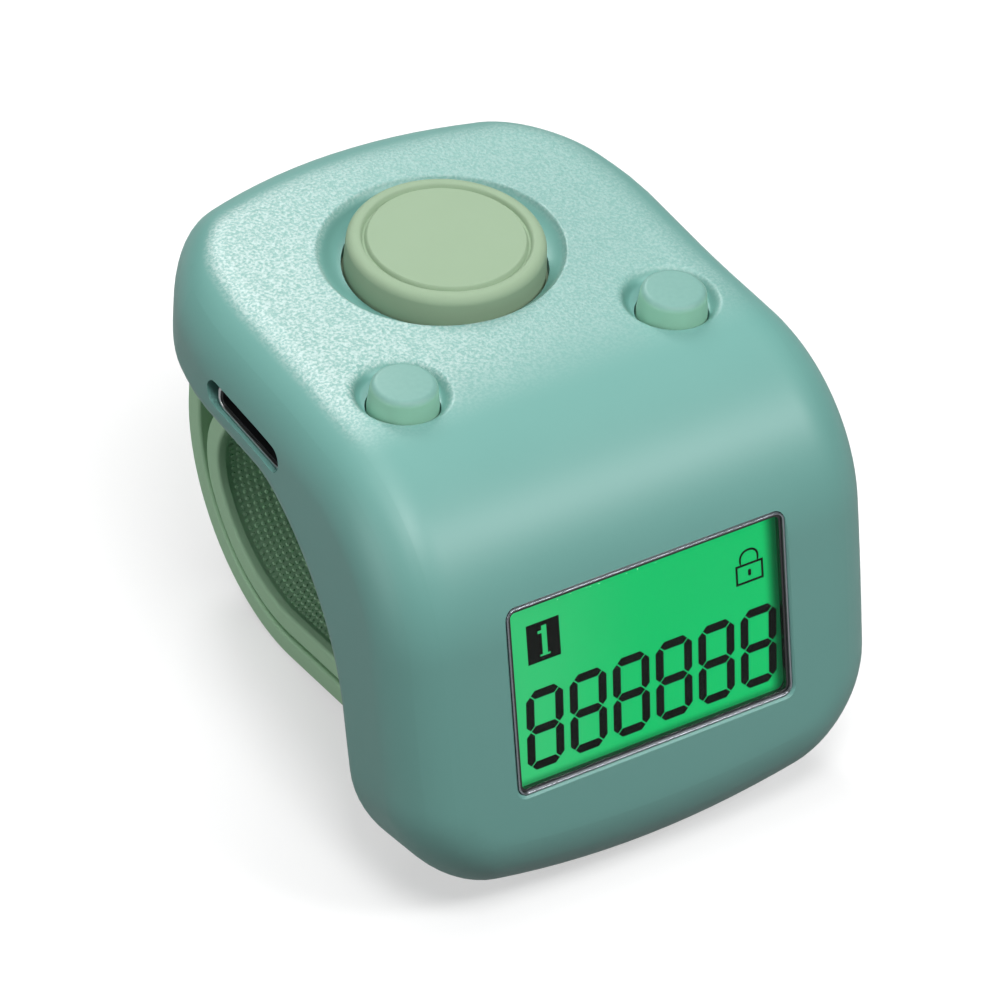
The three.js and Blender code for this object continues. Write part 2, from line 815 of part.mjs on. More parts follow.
function outerLine() {
  const top = roundFinger(0, outerLineRadius);
  const straight = strapCentre.y + 1.5;
  const path = new THREE.Path();
  path.moveTo(rearPin.x, rearPin.y);
  path.bezierCurveTo(rearPin.x + 1.3, rearPin.y - 1.5, top.x, straight + 2.4, top.x, straight);
  path.lineTo(top.x, top.y);
  path.absarc(strapCentre.x, strapCentre.y, outerLineRadius, 0, -climb, true);
  const turned = roundFinger(-climb, outerLineRadius);
  const run = (turned.x + strapTipReach) / -climbDirection.x;
  path.lineTo(turned.x + climbDirection.x * run, turned.y + climbDirection.y * run);
  return lineFrom(path, 1.2);
}

function innerLine() {
  const path = new THREE.Path();
  const turned = roundFinger(-climb, innerLineRadius);
  const run = (turned.x - frontPin.x - shoulder) / -climbDirection.x;
  const shoulderPoint = turned.clone().addScaledVector(climbDirection, run);
  path.moveTo(frontPin.x, frontPin.y);
  path.quadraticCurveTo(
    shoulderPoint.x + climbDirection.x,
    shoulderPoint.y + climbDirection.y,
    shoulderPoint.x,
    shoulderPoint.y,
  );
  path.lineTo(turned.x, turned.y);
  const leave = 2 * studAngle * degree;
  path.absarc(strapCentre.x, strapCentre.y, innerLineRadius, -climb, leave, false);
  const tipCentre = roundFinger(leave, innerLineRadius - innerTipRadius);
  const lift = 25 * degree;
  path.absarc(tipCentre.x, tipCentre.y, innerTipRadius, leave, lift, false);
  path.lineTo(
    tipCentre.x + innerTipRadius * Math.cos(lift) - innerTipLength * Math.sin(lift),
    tipCentre.y + innerTipRadius * Math.sin(lift) + innerTipLength * Math.cos(lift),
  );
  return lineFrom(path, 1.2);
}

// The strip at full width, and a narrower tab from its shoulder to an eye round the pin
function layer(line, pin) {
  const shoulderAt = line.findIndex((point) => point.distanceTo(pin) >= shoulder);
  const body = solidOf(alongX(stripShape(line.slice(shoulderAt), strapThickness), strapWidth, strapEdge));
  const tabLine = line.slice(0, shoulderAt + 2);
  const tab = solidOf(alongX(stripShape(tabLine, strapThickness), tabWidth));
  const eye = solidOf(crossRod(eyeRadius, tabWidth, pin.x, pin.y));
  const bore = solidOf(crossRod(pinRadius + pinGap, caseWidth, pin.x, pin.y));
  return cut(join(body, tab, eye), bore);
}

// Something drawn along Z, from zero outwards, laid along a ray of the strap's round
function onRay(geometry, angle) {
  geometry.rotateX(-(Math.PI / 2 - angle));
  return geometry.translate(0, strapCentre.x, strapCentre.y);
}

const pocketLow = strapRadius - strapThickness;

function strapOuter() {
  const floorCut = box(caseWidth, 2 * strapRadius, 2, 0, strapCentre.x, floorZ - 1);
  const pocketHigh = pocketLow + studBaseThickness + fastenerGap;
  const pocket = onRay(rod(studBaseRadius + fastenerGap, pocketLow - 1, pocketHigh), studAngle * degree);
  return cut(layer(outerLine(), rearPin), solidOf(floorCut), solidOf(pocket));
}

function strapStud() {
  const pegEnd = innerLineRadius - strapThickness / 2;
  const base = rod(studBaseRadius, pocketLow, pocketLow + studBaseThickness);
  const peg = rod(studRadius, pegEnd, pocketLow + studBaseThickness / 2);
  const joined = geometryOf(join(solidOf(base), solidOf(peg)));
  return onRay(joined, studAngle * degree);
}

function strapInner() {
  const slots = [];
  for (let k = 0; k < slotCount; k += 1) {
    const shape = roundedRectangle(slotWidth, slotLength, slotWidth / 2, 6);
    const slot = slabOf(shape, innerLineRadius - 2, innerLineRadius + 1.5);
    slots.push(solidOf(onRay(slot, (studAngle - slotStep * k) * degree)));
  }
  return cut(layer(innerLine(), frontPin), ...slots);
}

// Materials
function material(color, roughness, metalness = 0) {
  return new THREE.MeshStandardMaterial({ color, roughness, metalness });
}

const caseTeal = material(0x8fbdb2, 0.5);
const buttonSage = material(0xaac1a2, 0.62);
const strapSage = material(0x76926a, 0.7);
const steel = material(0xb9bcbd, 0.3, 1);
const clearLens = material(0xdfe9e4, 0.08);
const blackRubber = material(0x1c1d1d, 0.8);
const displayGreen = material(0x2ac770, 0.35);
const lightGuide = material(0xd7f2d9, 0.4);
const boardGreen = material(0x1f5a3a, 0.55);
const chipBlack = material(0x202224, 0.5);
const foil = material(0xa9adb0, 0.4, 0.8);
const amberFilm = material(0xa8692a, 0.45);
const switchGrey = material(0x3a3d40, 0.5);
const plungerCream = material(0xe4e0d2, 0.55);
const wireRed = material(0xb02a24, 0.5);
const wireBlack = material(0x191919, 0.5);
const whiteTape = material(0xe9e9e4, 0.8);

// Assembly
const ringCounter = new THREE.Group();
ringCounter.add(front);

function add(name, shape, surface, parent = ringCounter) {
  const geometry = shape.isBufferGeometry ? closed(shape) : geometryOf(shape);
  geometry.computeVertexNormals();
  const mesh = new THREE.Mesh(geometry, surface);
  mesh.name = name;
  parent.add(mesh);
  return mesh;
}

add('upper_shell', upperShell(), caseTeal);
add('lower_cover', lowerCover(), caseTeal);
add('case_screw_1', screw(), steel).position.set(-topScrewX, topScrewY, topHeadFace);
add('case_screw_2', screw(), steel).position.set(topScrewX, topScrewY, topHeadFace);
add('case_screw_3', screw(), steel, front).position.set(-frontScrewX, -frontScrewDrop, frontHeadFace);
add('case_screw_4', screw(), steel, front).position.set(frontScrewX, -frontScrewDrop, frontHeadFace);

const countShape = button(countRadius, countRise, buttonEdge, countFlangeRadius, 40, true);
const smallShape = button(smallRadius, smallRise, smallButtonEdge, smallFlangeRadius, 24, false);
for (const place of buttonPlaces) {
  const shape = place.name === 'count' ? countShape : smallShape;
  const surface = place.name === 'count' ? buttonSage : caseTeal;
  add(`${place.name}_button`, shape, surface).position.set(place.x, place.y, 0);
  add(`${place.name}_switch_body`, switchBody(place.size, place), switchGrey);
  add(`${place.name}_switch_plunger`, switchPlunger(place), plungerCream);
}

add('main_board', mainBoard(), boardGreen);
const chipZ = boardBottom - chipHeight / 2;
const controller = box(controllerSize, controllerSize, chipHeight, controllerX, controllerY, chipZ);
add('controller_chip', controller, chipBlack);
add('charge_chip', box(chargeLength, chargeWidth, chipHeight, chargeX, chargeY, chipZ), chipBlack);
add('crystal_can', crossRod(chipHeight / 2, crystalLength, crystalY, chipZ), foil);

const portMiddleX = portFaceX + portShellDepth / 2;
add('port_shell', portShell(), steel).position.set(portMiddleX, portShellY, portZ);
add('port_tongue', portTongue(), chipBlack).position.set(portMiddleX, portShellY, portZ);

const lensShape = roundedRectangle(windowWidth - 2 * lensGap, windowHeight - 2 * lensGap, windowCorner - lensGap);
add('display_lens', slabOf(lensShape, -lensSink - lensThickness, -lensSink), clearLens, front);
add('display_gasket', gasket(), blackRubber, front);
add('display_cell', plate(cellWidth, cellHeight, cellTop, cellThickness), displayGreen, front);
const backlightHeight = cellHeight - 2 * contactStripWidth - 4 * stackGap;
add('backlight_panel', plate(cellWidth - 2, backlightHeight, backlightTop, backlightThickness), lightGuide, front);
const ledX = (cellWidth - 2) / 2 + stackGap + ledWidth / 2;
add('backlight_led', plate(ledWidth, ledLength, backlightTop, backlightThickness, 0, ledX), plungerCream, front);
const stripY = (cellHeight - contactStripWidth) / 2;
for (const [name, side] of [['contact_strip_top', 1], ['contact_strip_bottom', -1]]) {
  const strip = plate(cellWidth - 2, contactStripWidth, backlightTop, backlightThickness, side * stripY);
  add(name, strip, blackRubber, front);
}
add('display_board', plate(
  displayBoardWidth,
  displayBoardHeight,
  displayBoardTop,
  displayBoardThickness,
), boardGreen, front);
add('battery_pad', plate(batteryWidth - 4, batteryLength - 3, padTop, batteryPadThickness, -batteryDrop), whiteTape, front);
add('battery_cell', plate(batteryWidth, batteryLength, batteryTop, batteryThickness, -batteryDrop), foil, front);

const batteryEdge = -batteryDrop + batteryLength / 2;
for (const [name, x, surface] of [['battery_lead_red', -5.4, wireRed], ['battery_lead_black', 5.4, wireBlack]]) {
  const start = fromFront(x, batteryEdge + stackGap, batteryTop - batteryThickness / 2);
  const leave = fromFront(x, batteryEdge + 1.6, batteryTop - batteryThickness / 2);
  const arrive = new THREE.Vector3(x, -0.9, boardBottom - 1.3);
  const end = new THREE.Vector3(x, -0.9, boardBottom - stackGap);
  add(name, wire([start, leave, arrive, end], leadRadius), surface);
}

const ribbonStart = fromFront(0, displayBoardHeight / 2 - 1, padTop + stackGap / 2);
const ribbonLeave = fromFront(0, displayBoardHeight / 2 + 0.6, padTop + stackGap / 2);
const ribbonEnd = new THREE.Vector2(-boardFrontReach + 1.8, boardBottom - stackGap - ribbonThickness / 2);
const ribbonPath = new THREE.Path();
ribbonPath.moveTo(ribbonStart.y, ribbonStart.z);
ribbonPath.lineTo(ribbonLeave.y, ribbonLeave.z);
ribbonPath.quadraticCurveTo(ribbonLeave.y + 0.6, ribbonEnd.y, ribbonEnd.x - 1.4, ribbonEnd.y);
ribbonPath.lineTo(ribbonEnd.x, ribbonEnd.y);
add('display_ribbon', alongX(stripShape(lineFrom(ribbonPath, 0.5), ribbonThickness), ribbonWidth), amberFilm);

const pinLength = 2 * lugX + lugThickness - 0.4;
add('rear_strap_pin', crossRod(pinRadius, pinLength, rearPin.x, rearPin.y), steel);
add('front_strap_pin', crossRod(pinRadius, pinLength, frontPin.x, frontPin.y), steel);
add('strap_outer', strapOuter(), strapSage);
add('strap_stud', strapStud(), steel);
add('strap_inner', strapInner(), strapSage);

// Origin at the bottom centre of the bounding box
ringCounter.updateMatrixWorld(true);
const bounds = new THREE.Box3().setFromObject(ringCounter, true);
const middle = bounds.getCenter(new THREE.Vector3());
ringCounter.position.set(-middle.x, -middle.y, -bounds.min.z);
ringCounter.updateMatrixWorld(true);

export default ringCounter;
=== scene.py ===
# %% [markdown]
# A tally counter that is worn on a finger, dressed for a studio picture.
#
# The real one has a satin plastic case bent over the finger, one large rubbery count button
# and two small ones, a green lit display on the leaning front, a charging socket in the left
# side, and a strap in two rubber layers that closes the ring. The measured model is loaded
# first and stays where it is. The pieces that show are then made again with smooth surfaces
# in the same places, and everything gets a finish.

# %% Load the measured model
import json
import math

import bmesh
import bpy
import numpy as np
from mathutils import Matrix, Vector

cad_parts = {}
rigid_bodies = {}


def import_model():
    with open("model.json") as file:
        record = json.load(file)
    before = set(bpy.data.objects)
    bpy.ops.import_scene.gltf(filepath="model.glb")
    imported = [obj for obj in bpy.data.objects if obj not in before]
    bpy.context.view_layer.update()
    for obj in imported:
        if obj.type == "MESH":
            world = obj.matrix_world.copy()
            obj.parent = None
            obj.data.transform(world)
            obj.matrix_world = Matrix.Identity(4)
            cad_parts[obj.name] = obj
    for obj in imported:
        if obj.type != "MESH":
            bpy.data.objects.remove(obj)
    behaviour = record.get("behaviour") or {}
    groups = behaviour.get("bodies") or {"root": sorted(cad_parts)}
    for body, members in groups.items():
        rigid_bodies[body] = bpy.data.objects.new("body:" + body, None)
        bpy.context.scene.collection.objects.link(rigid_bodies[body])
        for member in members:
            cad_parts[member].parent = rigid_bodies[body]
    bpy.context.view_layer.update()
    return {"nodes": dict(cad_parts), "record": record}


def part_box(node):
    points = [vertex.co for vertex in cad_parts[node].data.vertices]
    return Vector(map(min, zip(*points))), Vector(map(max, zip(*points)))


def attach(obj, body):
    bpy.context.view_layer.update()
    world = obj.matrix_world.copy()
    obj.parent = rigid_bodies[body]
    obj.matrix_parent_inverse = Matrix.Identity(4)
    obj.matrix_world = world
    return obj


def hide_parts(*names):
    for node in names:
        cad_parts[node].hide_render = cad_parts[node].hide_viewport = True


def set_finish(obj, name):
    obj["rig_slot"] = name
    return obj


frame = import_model()
mm = 0.001

# %% [markdown]
# The case was drawn about the point midway between the two small buttons, on the flat top.
# Modelling about that point keeps the numbers simple, so each finished piece is moved by one
# fixed step into the part's own place. The step is read off two loaded nodes.

# %% Where the drawing's zero lies in the part
count_setback = 9.38 * mm
count_low, count_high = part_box("count_button")
shell_low, shell_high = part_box("upper_shell")
zero_y = (count_low.y + count_high.y) / 2 - count_setback
zero_z = shell_high.z
print("drawing's zero at", round(zero_y, 6), round(zero_z, 6))

# %% [markdown]
# The camera stands where the photograph was taken from: high on the left of the display
# side, about 36 cm away, with a long lens. Its axis is turned slightly, not shifted, so that
# the counter lands in the same part of the picture.

# %% Camera
camera_right = Vector((0.842978, -0.534236, 0.063086))
camera_up = Vector((0.295733, 0.558185, 0.775223))
camera_back = Vector((-0.449366, -0.634839, 0.628529))
camera_distance = 355.34 * mm
aim_left = 0.005837
aim_down = 0.022077
aim = -camera_back - aim_left * camera_right - aim_down * camera_up
aim.normalize()
level = (camera_right - aim * camera_right.dot(aim)).normalized()
upward = level.cross(aim)
camera_data = bpy.data.cameras.new("camera")
camera_data.sensor_width = 36
camera_data.lens = 242.9
camera_data.clip_start = 0.01
camera = bpy.data.objects.new("camera", camera_data)
bpy.context.scene.collection.objects.link(camera)
turned_axes = Matrix((level, upward, -aim)).transposed().to_4x4()
stand = camera_back * camera_distance + Vector((0, zero_y, zero_z))
camera.matrix_world = Matrix.Translation(stand) @ turned_axes
bpy.context.scene.camera = camera
bpy.context.scene.view_settings.view_transform = "Standard"
print("camera at", [round(c, 4) for c in stand])

# %% [markdown]
# Helpers for modelling as by hand. An operator acts on everything that is selected, so a
# piece is first made the only selected one, and its faces or edges are picked in code by
# where they lie.

# %% Picking
def take(piece):
    if bpy.context.object and bpy.context.object.mode != "OBJECT":
        bpy.ops.object.mode_set(mode="OBJECT")
    bpy.ops.object.select_all(action="DESELECT")
    piece.select_set(True)
    bpy.context.view_layer.objects.active = piece
    return piece


def pick(piece, kind, wanted):
    if bpy.context.object != piece or piece.mode != "EDIT":
        take(piece)
        bpy.ops.object.mode_set(mode="EDIT")
    bpy.context.tool_settings.mesh_select_mode = (kind == "verts", kind == "edges", kind == "faces")
    bpy.ops.mesh.select_all(action="DESELECT")
    mesh = bmesh.from_edit_mesh(piece.data)
    for item in getattr(mesh, kind):
        if wanted(item):
            item.select_set(True)
    mesh.select_flush_mode()
    bmesh.update_edit_mesh(piece.data)


def whole(piece):
    pick(piece, "faces", lambda face: True)


def done(piece):
    if piece.mode == "EDIT":
        bpy.ops.object.mode_set(mode="OBJECT")
    return piece


def new_block(name, low, high):
    bpy.ops.object.select_all(action="DESELECT")
    size = [top - bottom for top, bottom in zip(high, low)]
    centre = [(top + bottom) / 2 for top, bottom in zip(high, low)]
    bpy.ops.mesh.primitive_cube_add(size=1, location=centre, scale=size)
    piece = bpy.context.object
    piece.name = name
    bpy.ops.object.transform_apply(location=True, rotation=True, scale=True)
    return piece


def use(piece, kind, **settings):
    take(piece)
    modifier = piece.modifiers.new(kind.lower(), kind)
    for key, value in settings.items():
        setattr(modifier, key, value)
    bpy.ops.object.modifier_apply(modifier=modifier.name)


def carve(piece, tool, operation="DIFFERENCE"):
    use(piece, "BOOLEAN", object=tool, operation=operation, solver="EXACT")
    bpy.data.objects.remove(tool)


def upright_edge(edge):
    a, b = (vertex.co for vertex in edge.verts)
    return (a - b).xy.length < 1e-7 and abs(a.z - b.z) > 1e-6


def at_height(z):
    def test(item):
        return all(abs(vertex.co.z - z) < 1e-6 for vertex in item.verts)
    return test


def rounded_plate(name, low, high, corner, top_edge=0, bottom_edge=0, steps=8):
    piece = new_block(name, low, high)
    pick(piece, "edges", upright_edge)
    bpy.ops.mesh.bevel(offset=corner, segments=steps, affect="EDGES", offset_type="OFFSET")
    for z, edge in ((high[2], top_edge), (low[2], bottom_edge)):
        if edge:
            pick(piece, "edges", at_height(z))
            bpy.ops.mesh.bevel(offset=edge, segments=steps, affect="EDGES", offset_type="OFFSET")
    return done(piece)


# %% [markdown]
# Round pieces are turned, as on a lathe: an outline is drawn from the axis outwards and spun
# once round it. A finished piece is smoothed, moved to the part's own place, and told which
# body it rides on, which finish it takes and which plain nodes it stands for.

# %% Turning and finishing
def arc(centre, radius, start, end, steps):
    angles = np.radians(np.linspace(start, end, steps + 1))
    return [(centre[0] + radius * math.cos(a), centre[1] + radius * math.sin(a)) for a in angles]


def turned_piece(name, profile, steps, x=0, y=0):
    bpy.ops.object.select_all(action="DESELECT")
    bpy.ops.mesh.primitive_plane_add(size=mm)
    piece = bpy.context.object
    piece.name = name
    bpy.ops.object.mode_set(mode="EDIT")
    bpy.context.tool_settings.mesh_select_mode = (True, False, False)
    bpy.ops.mesh.select_all(action="SELECT")
    bpy.ops.mesh.merge(type="CENTER")
    bpy.ops.transform.translate(value=(profile[0][0], 0, profile[0][1]))
    for (r0, z0), (r1, z1) in zip(profile, profile[1:]):
        bpy.ops.mesh.extrude_region_move(TRANSFORM_OT_translate={"value": (r1 - r0, 0, z1 - z0)})
    bpy.ops.mesh.select_all(action="SELECT")
    bpy.ops.mesh.spin(steps=steps, angle=2 * math.pi, center=(0, 0, 0), axis=(0, 0, 1))
    bpy.ops.mesh.select_all(action="SELECT")
    bpy.ops.mesh.remove_doubles(threshold=1e-7)
    bpy.ops.mesh.normals_make_consistent(inside=False)
    done(piece)
    piece.data.transform(Matrix.Translation((x, y, 0)))
    return piece


def smooth(piece, angle):
    take(piece)
    bpy.ops.object.shade_smooth_by_angle(angle=math.radians(angle))
    use(piece, "WEIGHTED_NORMAL", keep_sharp=True)


def seat(piece, body, finish_slot, *nodes):
    piece.data.transform(Matrix.Translation((0, zero_y, zero_z)))
    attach(piece, body)
    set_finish(piece, finish_slot)
    if nodes:
        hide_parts(*nodes)
    print(piece.name, len(piece.data.polygons), "faces")
    return piece


# %% [markdown]
# The case is a slab bent over the finger. It is modelled flat, where its corners and edges
# are easy to round, and then each point is carried onto the bent shape. Along the section, s
# is negative on the flat top, zero at the start of the bend and grows down the front.

# %% Sizes of the case
case_width = 30 * mm
top_reach = 20.53 * mm
front_reach = 14.09 * mm
bend_radius = 10.32 * mm
lean = math.radians(13.26)
bend_y = -1.65 * mm
corner_radius = 5.36 * mm
side_draw_in = 0.8 * mm
draw_in_span = 21.5 * mm
straight_start = 3 * mm
straight_end = 7 * mm
corner_start = 11.5 * mm
corner_draw_in = 1.45 * mm
back_bow = 3.32 * mm
front_bow = 2.26 * mm
edge_radius = 3.62 * mm
rim_radius = 1.3 * mm
arch_radius = 10.5 * mm
top_depth = 6.4 * mm
front_depth = 7.95 * mm
side_wall = 2 * mm
roof = 1.4 * mm

turn = math.pi / 2 - lean
bend_length = bend_radius * turn
back_s = -top_reach
front_s = bend_length + front_reach
mid_s = (back_s + front_s) / 2
front_down = np.array([-math.sin(lean), -math.cos(lean)])
front_start = np.array([
    bend_y - bend_radius * math.cos(lean),
    -bend_radius + bend_radius * math.sin(lean),
])
arch_z = -top_depth - arch_radius
arch_reach = front_depth + arch_radius + (arch_z - front_start[1]) * math.sin(lean)
arch_centre = np.array([front_start[0] + arch_reach / math.cos(lean), arch_z])
arch_start = bend_y - arch_centre[0]
arch_end = bend_length + float((arch_centre - front_start) @ front_down)
print("section from", round(back_s / mm, 2), "to", round(front_s / mm, 2), "mm")


# %% [markdown]
# Two smooth faces carry the slab: the outer one is flat, then round, then leans straight down,
# and the finger's one is an arch. A point near the outside follows the outer face, a point
# near the inside follows the arch, and the rest is shared out. The sides draw in a little.

# %% From flat to bent
def outer_face(s):
    s = np.asarray(s, float)[:, None]
    angle = np.clip(s / bend_radius, 0, turn)
    inward = np.hstack([np.sin(angle), -np.cos(angle)])
    point = np.array([bend_y, -bend_radius]) - bend_radius * inward
    point += np.minimum(s, 0) * np.array([-1, 0]) + np.maximum(s - bend_length, 0) * front_down
    return point, inward


def finger_face(s):
    s = np.asarray(s, float)[:, None]
    share = np.clip((s - arch_start) / (arch_end - arch_start), 0, 1)
    outward = np.hstack([-np.sin(turn * share), np.cos(turn * share)])
    point = arch_centre + arch_radius * outward
    point += np.minimum(s - arch_start, 0) * np.array([-1, 0])
    point += np.maximum(s - arch_end, 0) * front_down
    return point, outward


def side_step(s):
    to_front = side_draw_in * ((s - bend_length) / draw_in_span) ** 2
    start = side_draw_in * ((straight_start + bend_length) / draw_in_span) ** 2
    slope = 2 * side_draw_in * (straight_start + bend_length) / draw_in_span ** 2
    run = straight_end - straight_start
    left = np.clip(s + straight_end, 0, run)
    to_straight = start + slope / 2 * (run - left ** 2 / run)
    t = np.clip((-s - corner_start) / (-back_s - corner_start), 0, 1)
    to_corner = to_straight + corner_draw_in * t * t * (3 - 2 * t)
    return np.where(s > -straight_start, to_front, to_corner)


def bend_over(points, flat_depth):
    x, s, depth = points[:, 0], -points[:, 1], -points[:, 2]
    middle = 1 - (2 * x / case_width) ** 2
    to_back = np.clip((mid_s - s) / (mid_s - back_s), 0, None) ** 2
    to_front = np.clip((s - mid_s) / (front_s - mid_s), 0, None) ** 2
    moved = s - back_bow * middle * to_back + front_bow * middle * to_front
    width = 1 - side_step(s) / (case_width / 2)
    outer, inward = outer_face(moved)
    inner, outward = finger_face(moved)
    upper = outer + inward * np.minimum(depth, edge_radius)[:, None]
    lower = inner + outward * np.minimum(flat_depth - depth, rim_radius)[:, None]
    room = flat_depth - edge_radius - rim_radius
    share = np.clip((depth - edge_radius) / room, 0, 1)[:, None]
    place = upper * (1 - share) + lower * share
    return np.column_stack([x * width, place])


def bend_piece(piece, flat_depth):
    count = len(piece.data.vertices)
    flat = np.empty(count * 3)
    piece.data.vertices.foreach_get("co", flat)
    bent = bend_over(flat.reshape(-1, 3), flat_depth)
    piece.data.vertices.foreach_set("co", bent.ravel())
    piece.data.update()


def slice_across(piece, axis, places):
    whole(piece)
    normal = [1.0 if k == axis else 0.0 for k in range(3)]
    for place in places:
        bpy.ops.mesh.select_all(action="SELECT")
        point = [place * component for component in normal]
        bpy.ops.mesh.bisect(plane_co=point, plane_no=normal, threshold=2e-6)
    done(piece)


# %% [markdown]
# The slab is a block with its corners and edges rounded by bevels. Only points that are there
# can bend, so it is first sliced across, finely where the bend will be.

# %% The flat slab, sliced and bent
flat_depth = 8 * mm
case = rounded_plate(
    "case_shell",
    (-case_width / 2, -front_s, -flat_depth),
    (case_width / 2, -back_s, 0),
    corner_radius,
    top_edge=edge_radius,
    bottom_edge=rim_radius,
    steps=14,
)
on_top = np.arange(-19.5, -0.2, 1.3) * mm
in_bend = np.arange(0.0, 13.9, 0.46) * mm
down_front = np.arange(14.4, 27.2, 1.3) * mm
stations = [-s for s in np.concatenate([on_top, in_bend, down_front])]
slice_across(case, 1, stations)
slice_across(case, 0, np.arange(-14, 14.1, 1.4) * mm)
bend_piece(case, flat_depth)
print("slab", len(case.data.polygons), "faces")

# %% [markdown]
# A smaller slab, bent in the same way, is taken out of the first one and leaves a shell.

# %% The hollow inside
hollow = rounded_plate(
    "hollow",
    (-case_width / 2 + side_wall, -front_s + side_wall, -flat_depth - mm),
    (case_width / 2 - side_wall, -back_s - side_wall, -roof),
    corner_radius - side_wall,
    top_edge=edge_radius - roof,
    steps=6,
)
slice_across(hollow, 1, stations[::2])
slice_across(hollow, 0, np.arange(-12, 12.1, 3) * mm)
bend_piece(hollow, flat_depth)
carve(case, hollow)
print("hollowed", len(case.data.polygons), "faces")

# %% [markdown]
# The lower end of the front is cut flat, so that the counter stands. Each button sits in a
# soft dish that reaches further behind it than in front, with a round hole through the roof.
# Dish and hole are turned tools, which are taken out of the shell.

# %% Foot and button dishes
foot_z = -zero_z
whole(case)
bpy.ops.mesh.bisect(
    plane_co=(0, 0, foot_z), plane_no=(0, 0, 1), clear_inner=True, use_fill=True, threshold=1e-6)
done(case)

count_radius = 5.4 * mm
count_foot = 5.45 * mm
small_radius = 1.8 * mm
small_foot = 1.92 * mm
small_x = 8.4 * mm


def bowl_tool(floor_radius, rim_radius, depth, lip, stretch, x, y, steps):
    profile = [(0, -depth), (floor_radius, -depth)]
    span = rim_radius - lip - floor_radius
    lip_height = depth * lip / mm
    for k in range(1, 9):
        share = k / 8
        profile.append((floor_radius + span * share, -depth + (depth - lip_height) * share ** 1.7))
    for k in range(1, 5):
        share = k / 5
        profile.append((rim_radius - lip + lip * share, -lip_height * (1 - share) ** 2))
    outside = rim_radius + 0.3 * mm
    profile += [(rim_radius, -0.003 * mm), (outside, 0.02 * mm), (outside, 2 * mm), (0, 2 * mm)]
    tool = turned_piece("tool", profile, steps)
    tool.data.transform(Matrix.Translation((x, y, 0)) @ Matrix.Diagonal((1, stretch, 1, 1)))
    return tool


def hole_tool(radius, x, y, steps):
    profile = [(0, -roof - mm), (radius, -roof - mm), (radius, 2 * mm), (0, 2 * mm)]
    return turned_piece("tool", profile, steps, x, y)


count_bowl = bowl_tool(
    floor_radius=5.62 * mm, rim_radius=6.97 * mm, depth=0.8 * mm, lip=0.22 * mm,
    stretch=0.93, x=0, y=count_setback + 0.42 * mm, steps=96)
carve(case, count_bowl)
carve(case, hole_tool(count_foot + 0.15 * mm, 0, count_setback, 96))
for x in (-small_x, small_x):
    small_bowl = bowl_tool(
        floor_radius=2.06 * mm, rim_radius=2.84 * mm, depth=0.56 * mm, lip=0.36 * mm,
        stretch=1.04, x=x + 0.2 * mm, y=0.6 * mm, steps=56)
    carve(case, small_bowl)
    carve(case, hole_tool(small_foot + 0.1 * mm, x, 0, 56))
print("dishes cut", len(case.data.polygons), "faces")

# %% [markdown]
# The front leans, so its window is modelled flat and then laid on the front with one matrix:
# X across, Y up along the front, Z straight out of the window. The slot for the charging plug
# is cut in the left side.

# %% Window and slot
window_width = 17.44 * mm
window_height = 11.06 * mm
window_foot = 0.3 * mm
window_corner = 0.65 * mm
window_drop = 3.53 * mm
window_centre = front_start + front_down * window_drop
front_place = Matrix.Translation((0, *window_centre)) @ Matrix.Rotation(turn, 4, "X")


def on_front(piece):
    piece.data.transform(front_place)
    return piece


def window_sized(name, grow, low, high, corner, **edges):
    half_x = window_width / 2 + grow
    half_y = window_height / 2 + grow
    low_corner = (-half_x, -half_y - window_foot, low)
    return rounded_plate(name, low_corner, (half_x, half_y, high), corner, **edges)


chamfer_low = -0.12 * mm
chamfer_rise = 0.22 * mm
chamfer_out = 0.44 * mm
window_tool = window_sized("tool", 0, -3.5 * mm, 2 * mm, window_corner)
pick(window_tool, "faces", at_height(2 * mm))
bpy.ops.transform.translate(value=(0, 0, chamfer_low - 2 * mm))
bpy.ops.mesh.extrude_region_move(TRANSFORM_OT_translate={"value": (0, 0, chamfer_rise)})
wider = (1 + chamfer_out / window_width, 1 + chamfer_out / window_height, 1)
bpy.ops.transform.resize(value=wider)
bpy.ops.mesh.extrude_region_move(TRANSFORM_OT_translate={"value": (0, 0, 2 * mm)})
done(window_tool)
carve(case, on_front(window_tool))

port_length = 7.5 * mm
port_height = 1.58 * mm
port_low, port_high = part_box("port_shell")
port_y = (port_low.y + port_high.y) / 2 - zero_y - 0.2 * mm
port_z = (port_low.z + port_high.z) / 2 - zero_z - 0.36 * mm
slot_tool = new_block(
    "tool",
    (-16 * mm, port_y - port_length / 2, port_z - port_height / 2),
    (-10 * mm, port_y + port_length / 2, port_z + port_height / 2),
)


def runs_across(edge):
    a, b = (vertex.co for vertex in edge.verts)
    return abs((a - b).y) < 1e-7 and abs((a - b).z) < 1e-7


pick(slot_tool, "edges", runs_across)
bpy.ops.mesh.bevel(offset=port_height / 2 - 0.005 * mm, segments=10, affect="EDGES")
done(slot_tool)
carve(case, slot_tool)
smooth(case, 32)
seat(case, "case", "case_plastic", "upper_shell")

# %% [markdown]
# The charging socket behind the slot is a thin steel shell with rounded ends. Its bright lip
# shows along the lower side of the slot. A black insert with a tongue fills it.

# %% Socket
port_place = Matrix.Translation((-14.3 * mm, port_y - 0.36 * mm, port_z)) @ Matrix((
    (0, 0, -1, 0), (-1, 0, 0, 0), (0, 1, 0, 0), (0, 0, 0, 1)))


def port_sized(name, width, height, low, high, corner):
    half_x, half_y = width / 2, height / 2
    return rounded_plate(name, (-half_x, -half_y, low), (half_x, half_y, high), corner, steps=6)


def in_port(piece):
    smooth(piece, 40)
    piece.data.transform(port_place)
    return piece


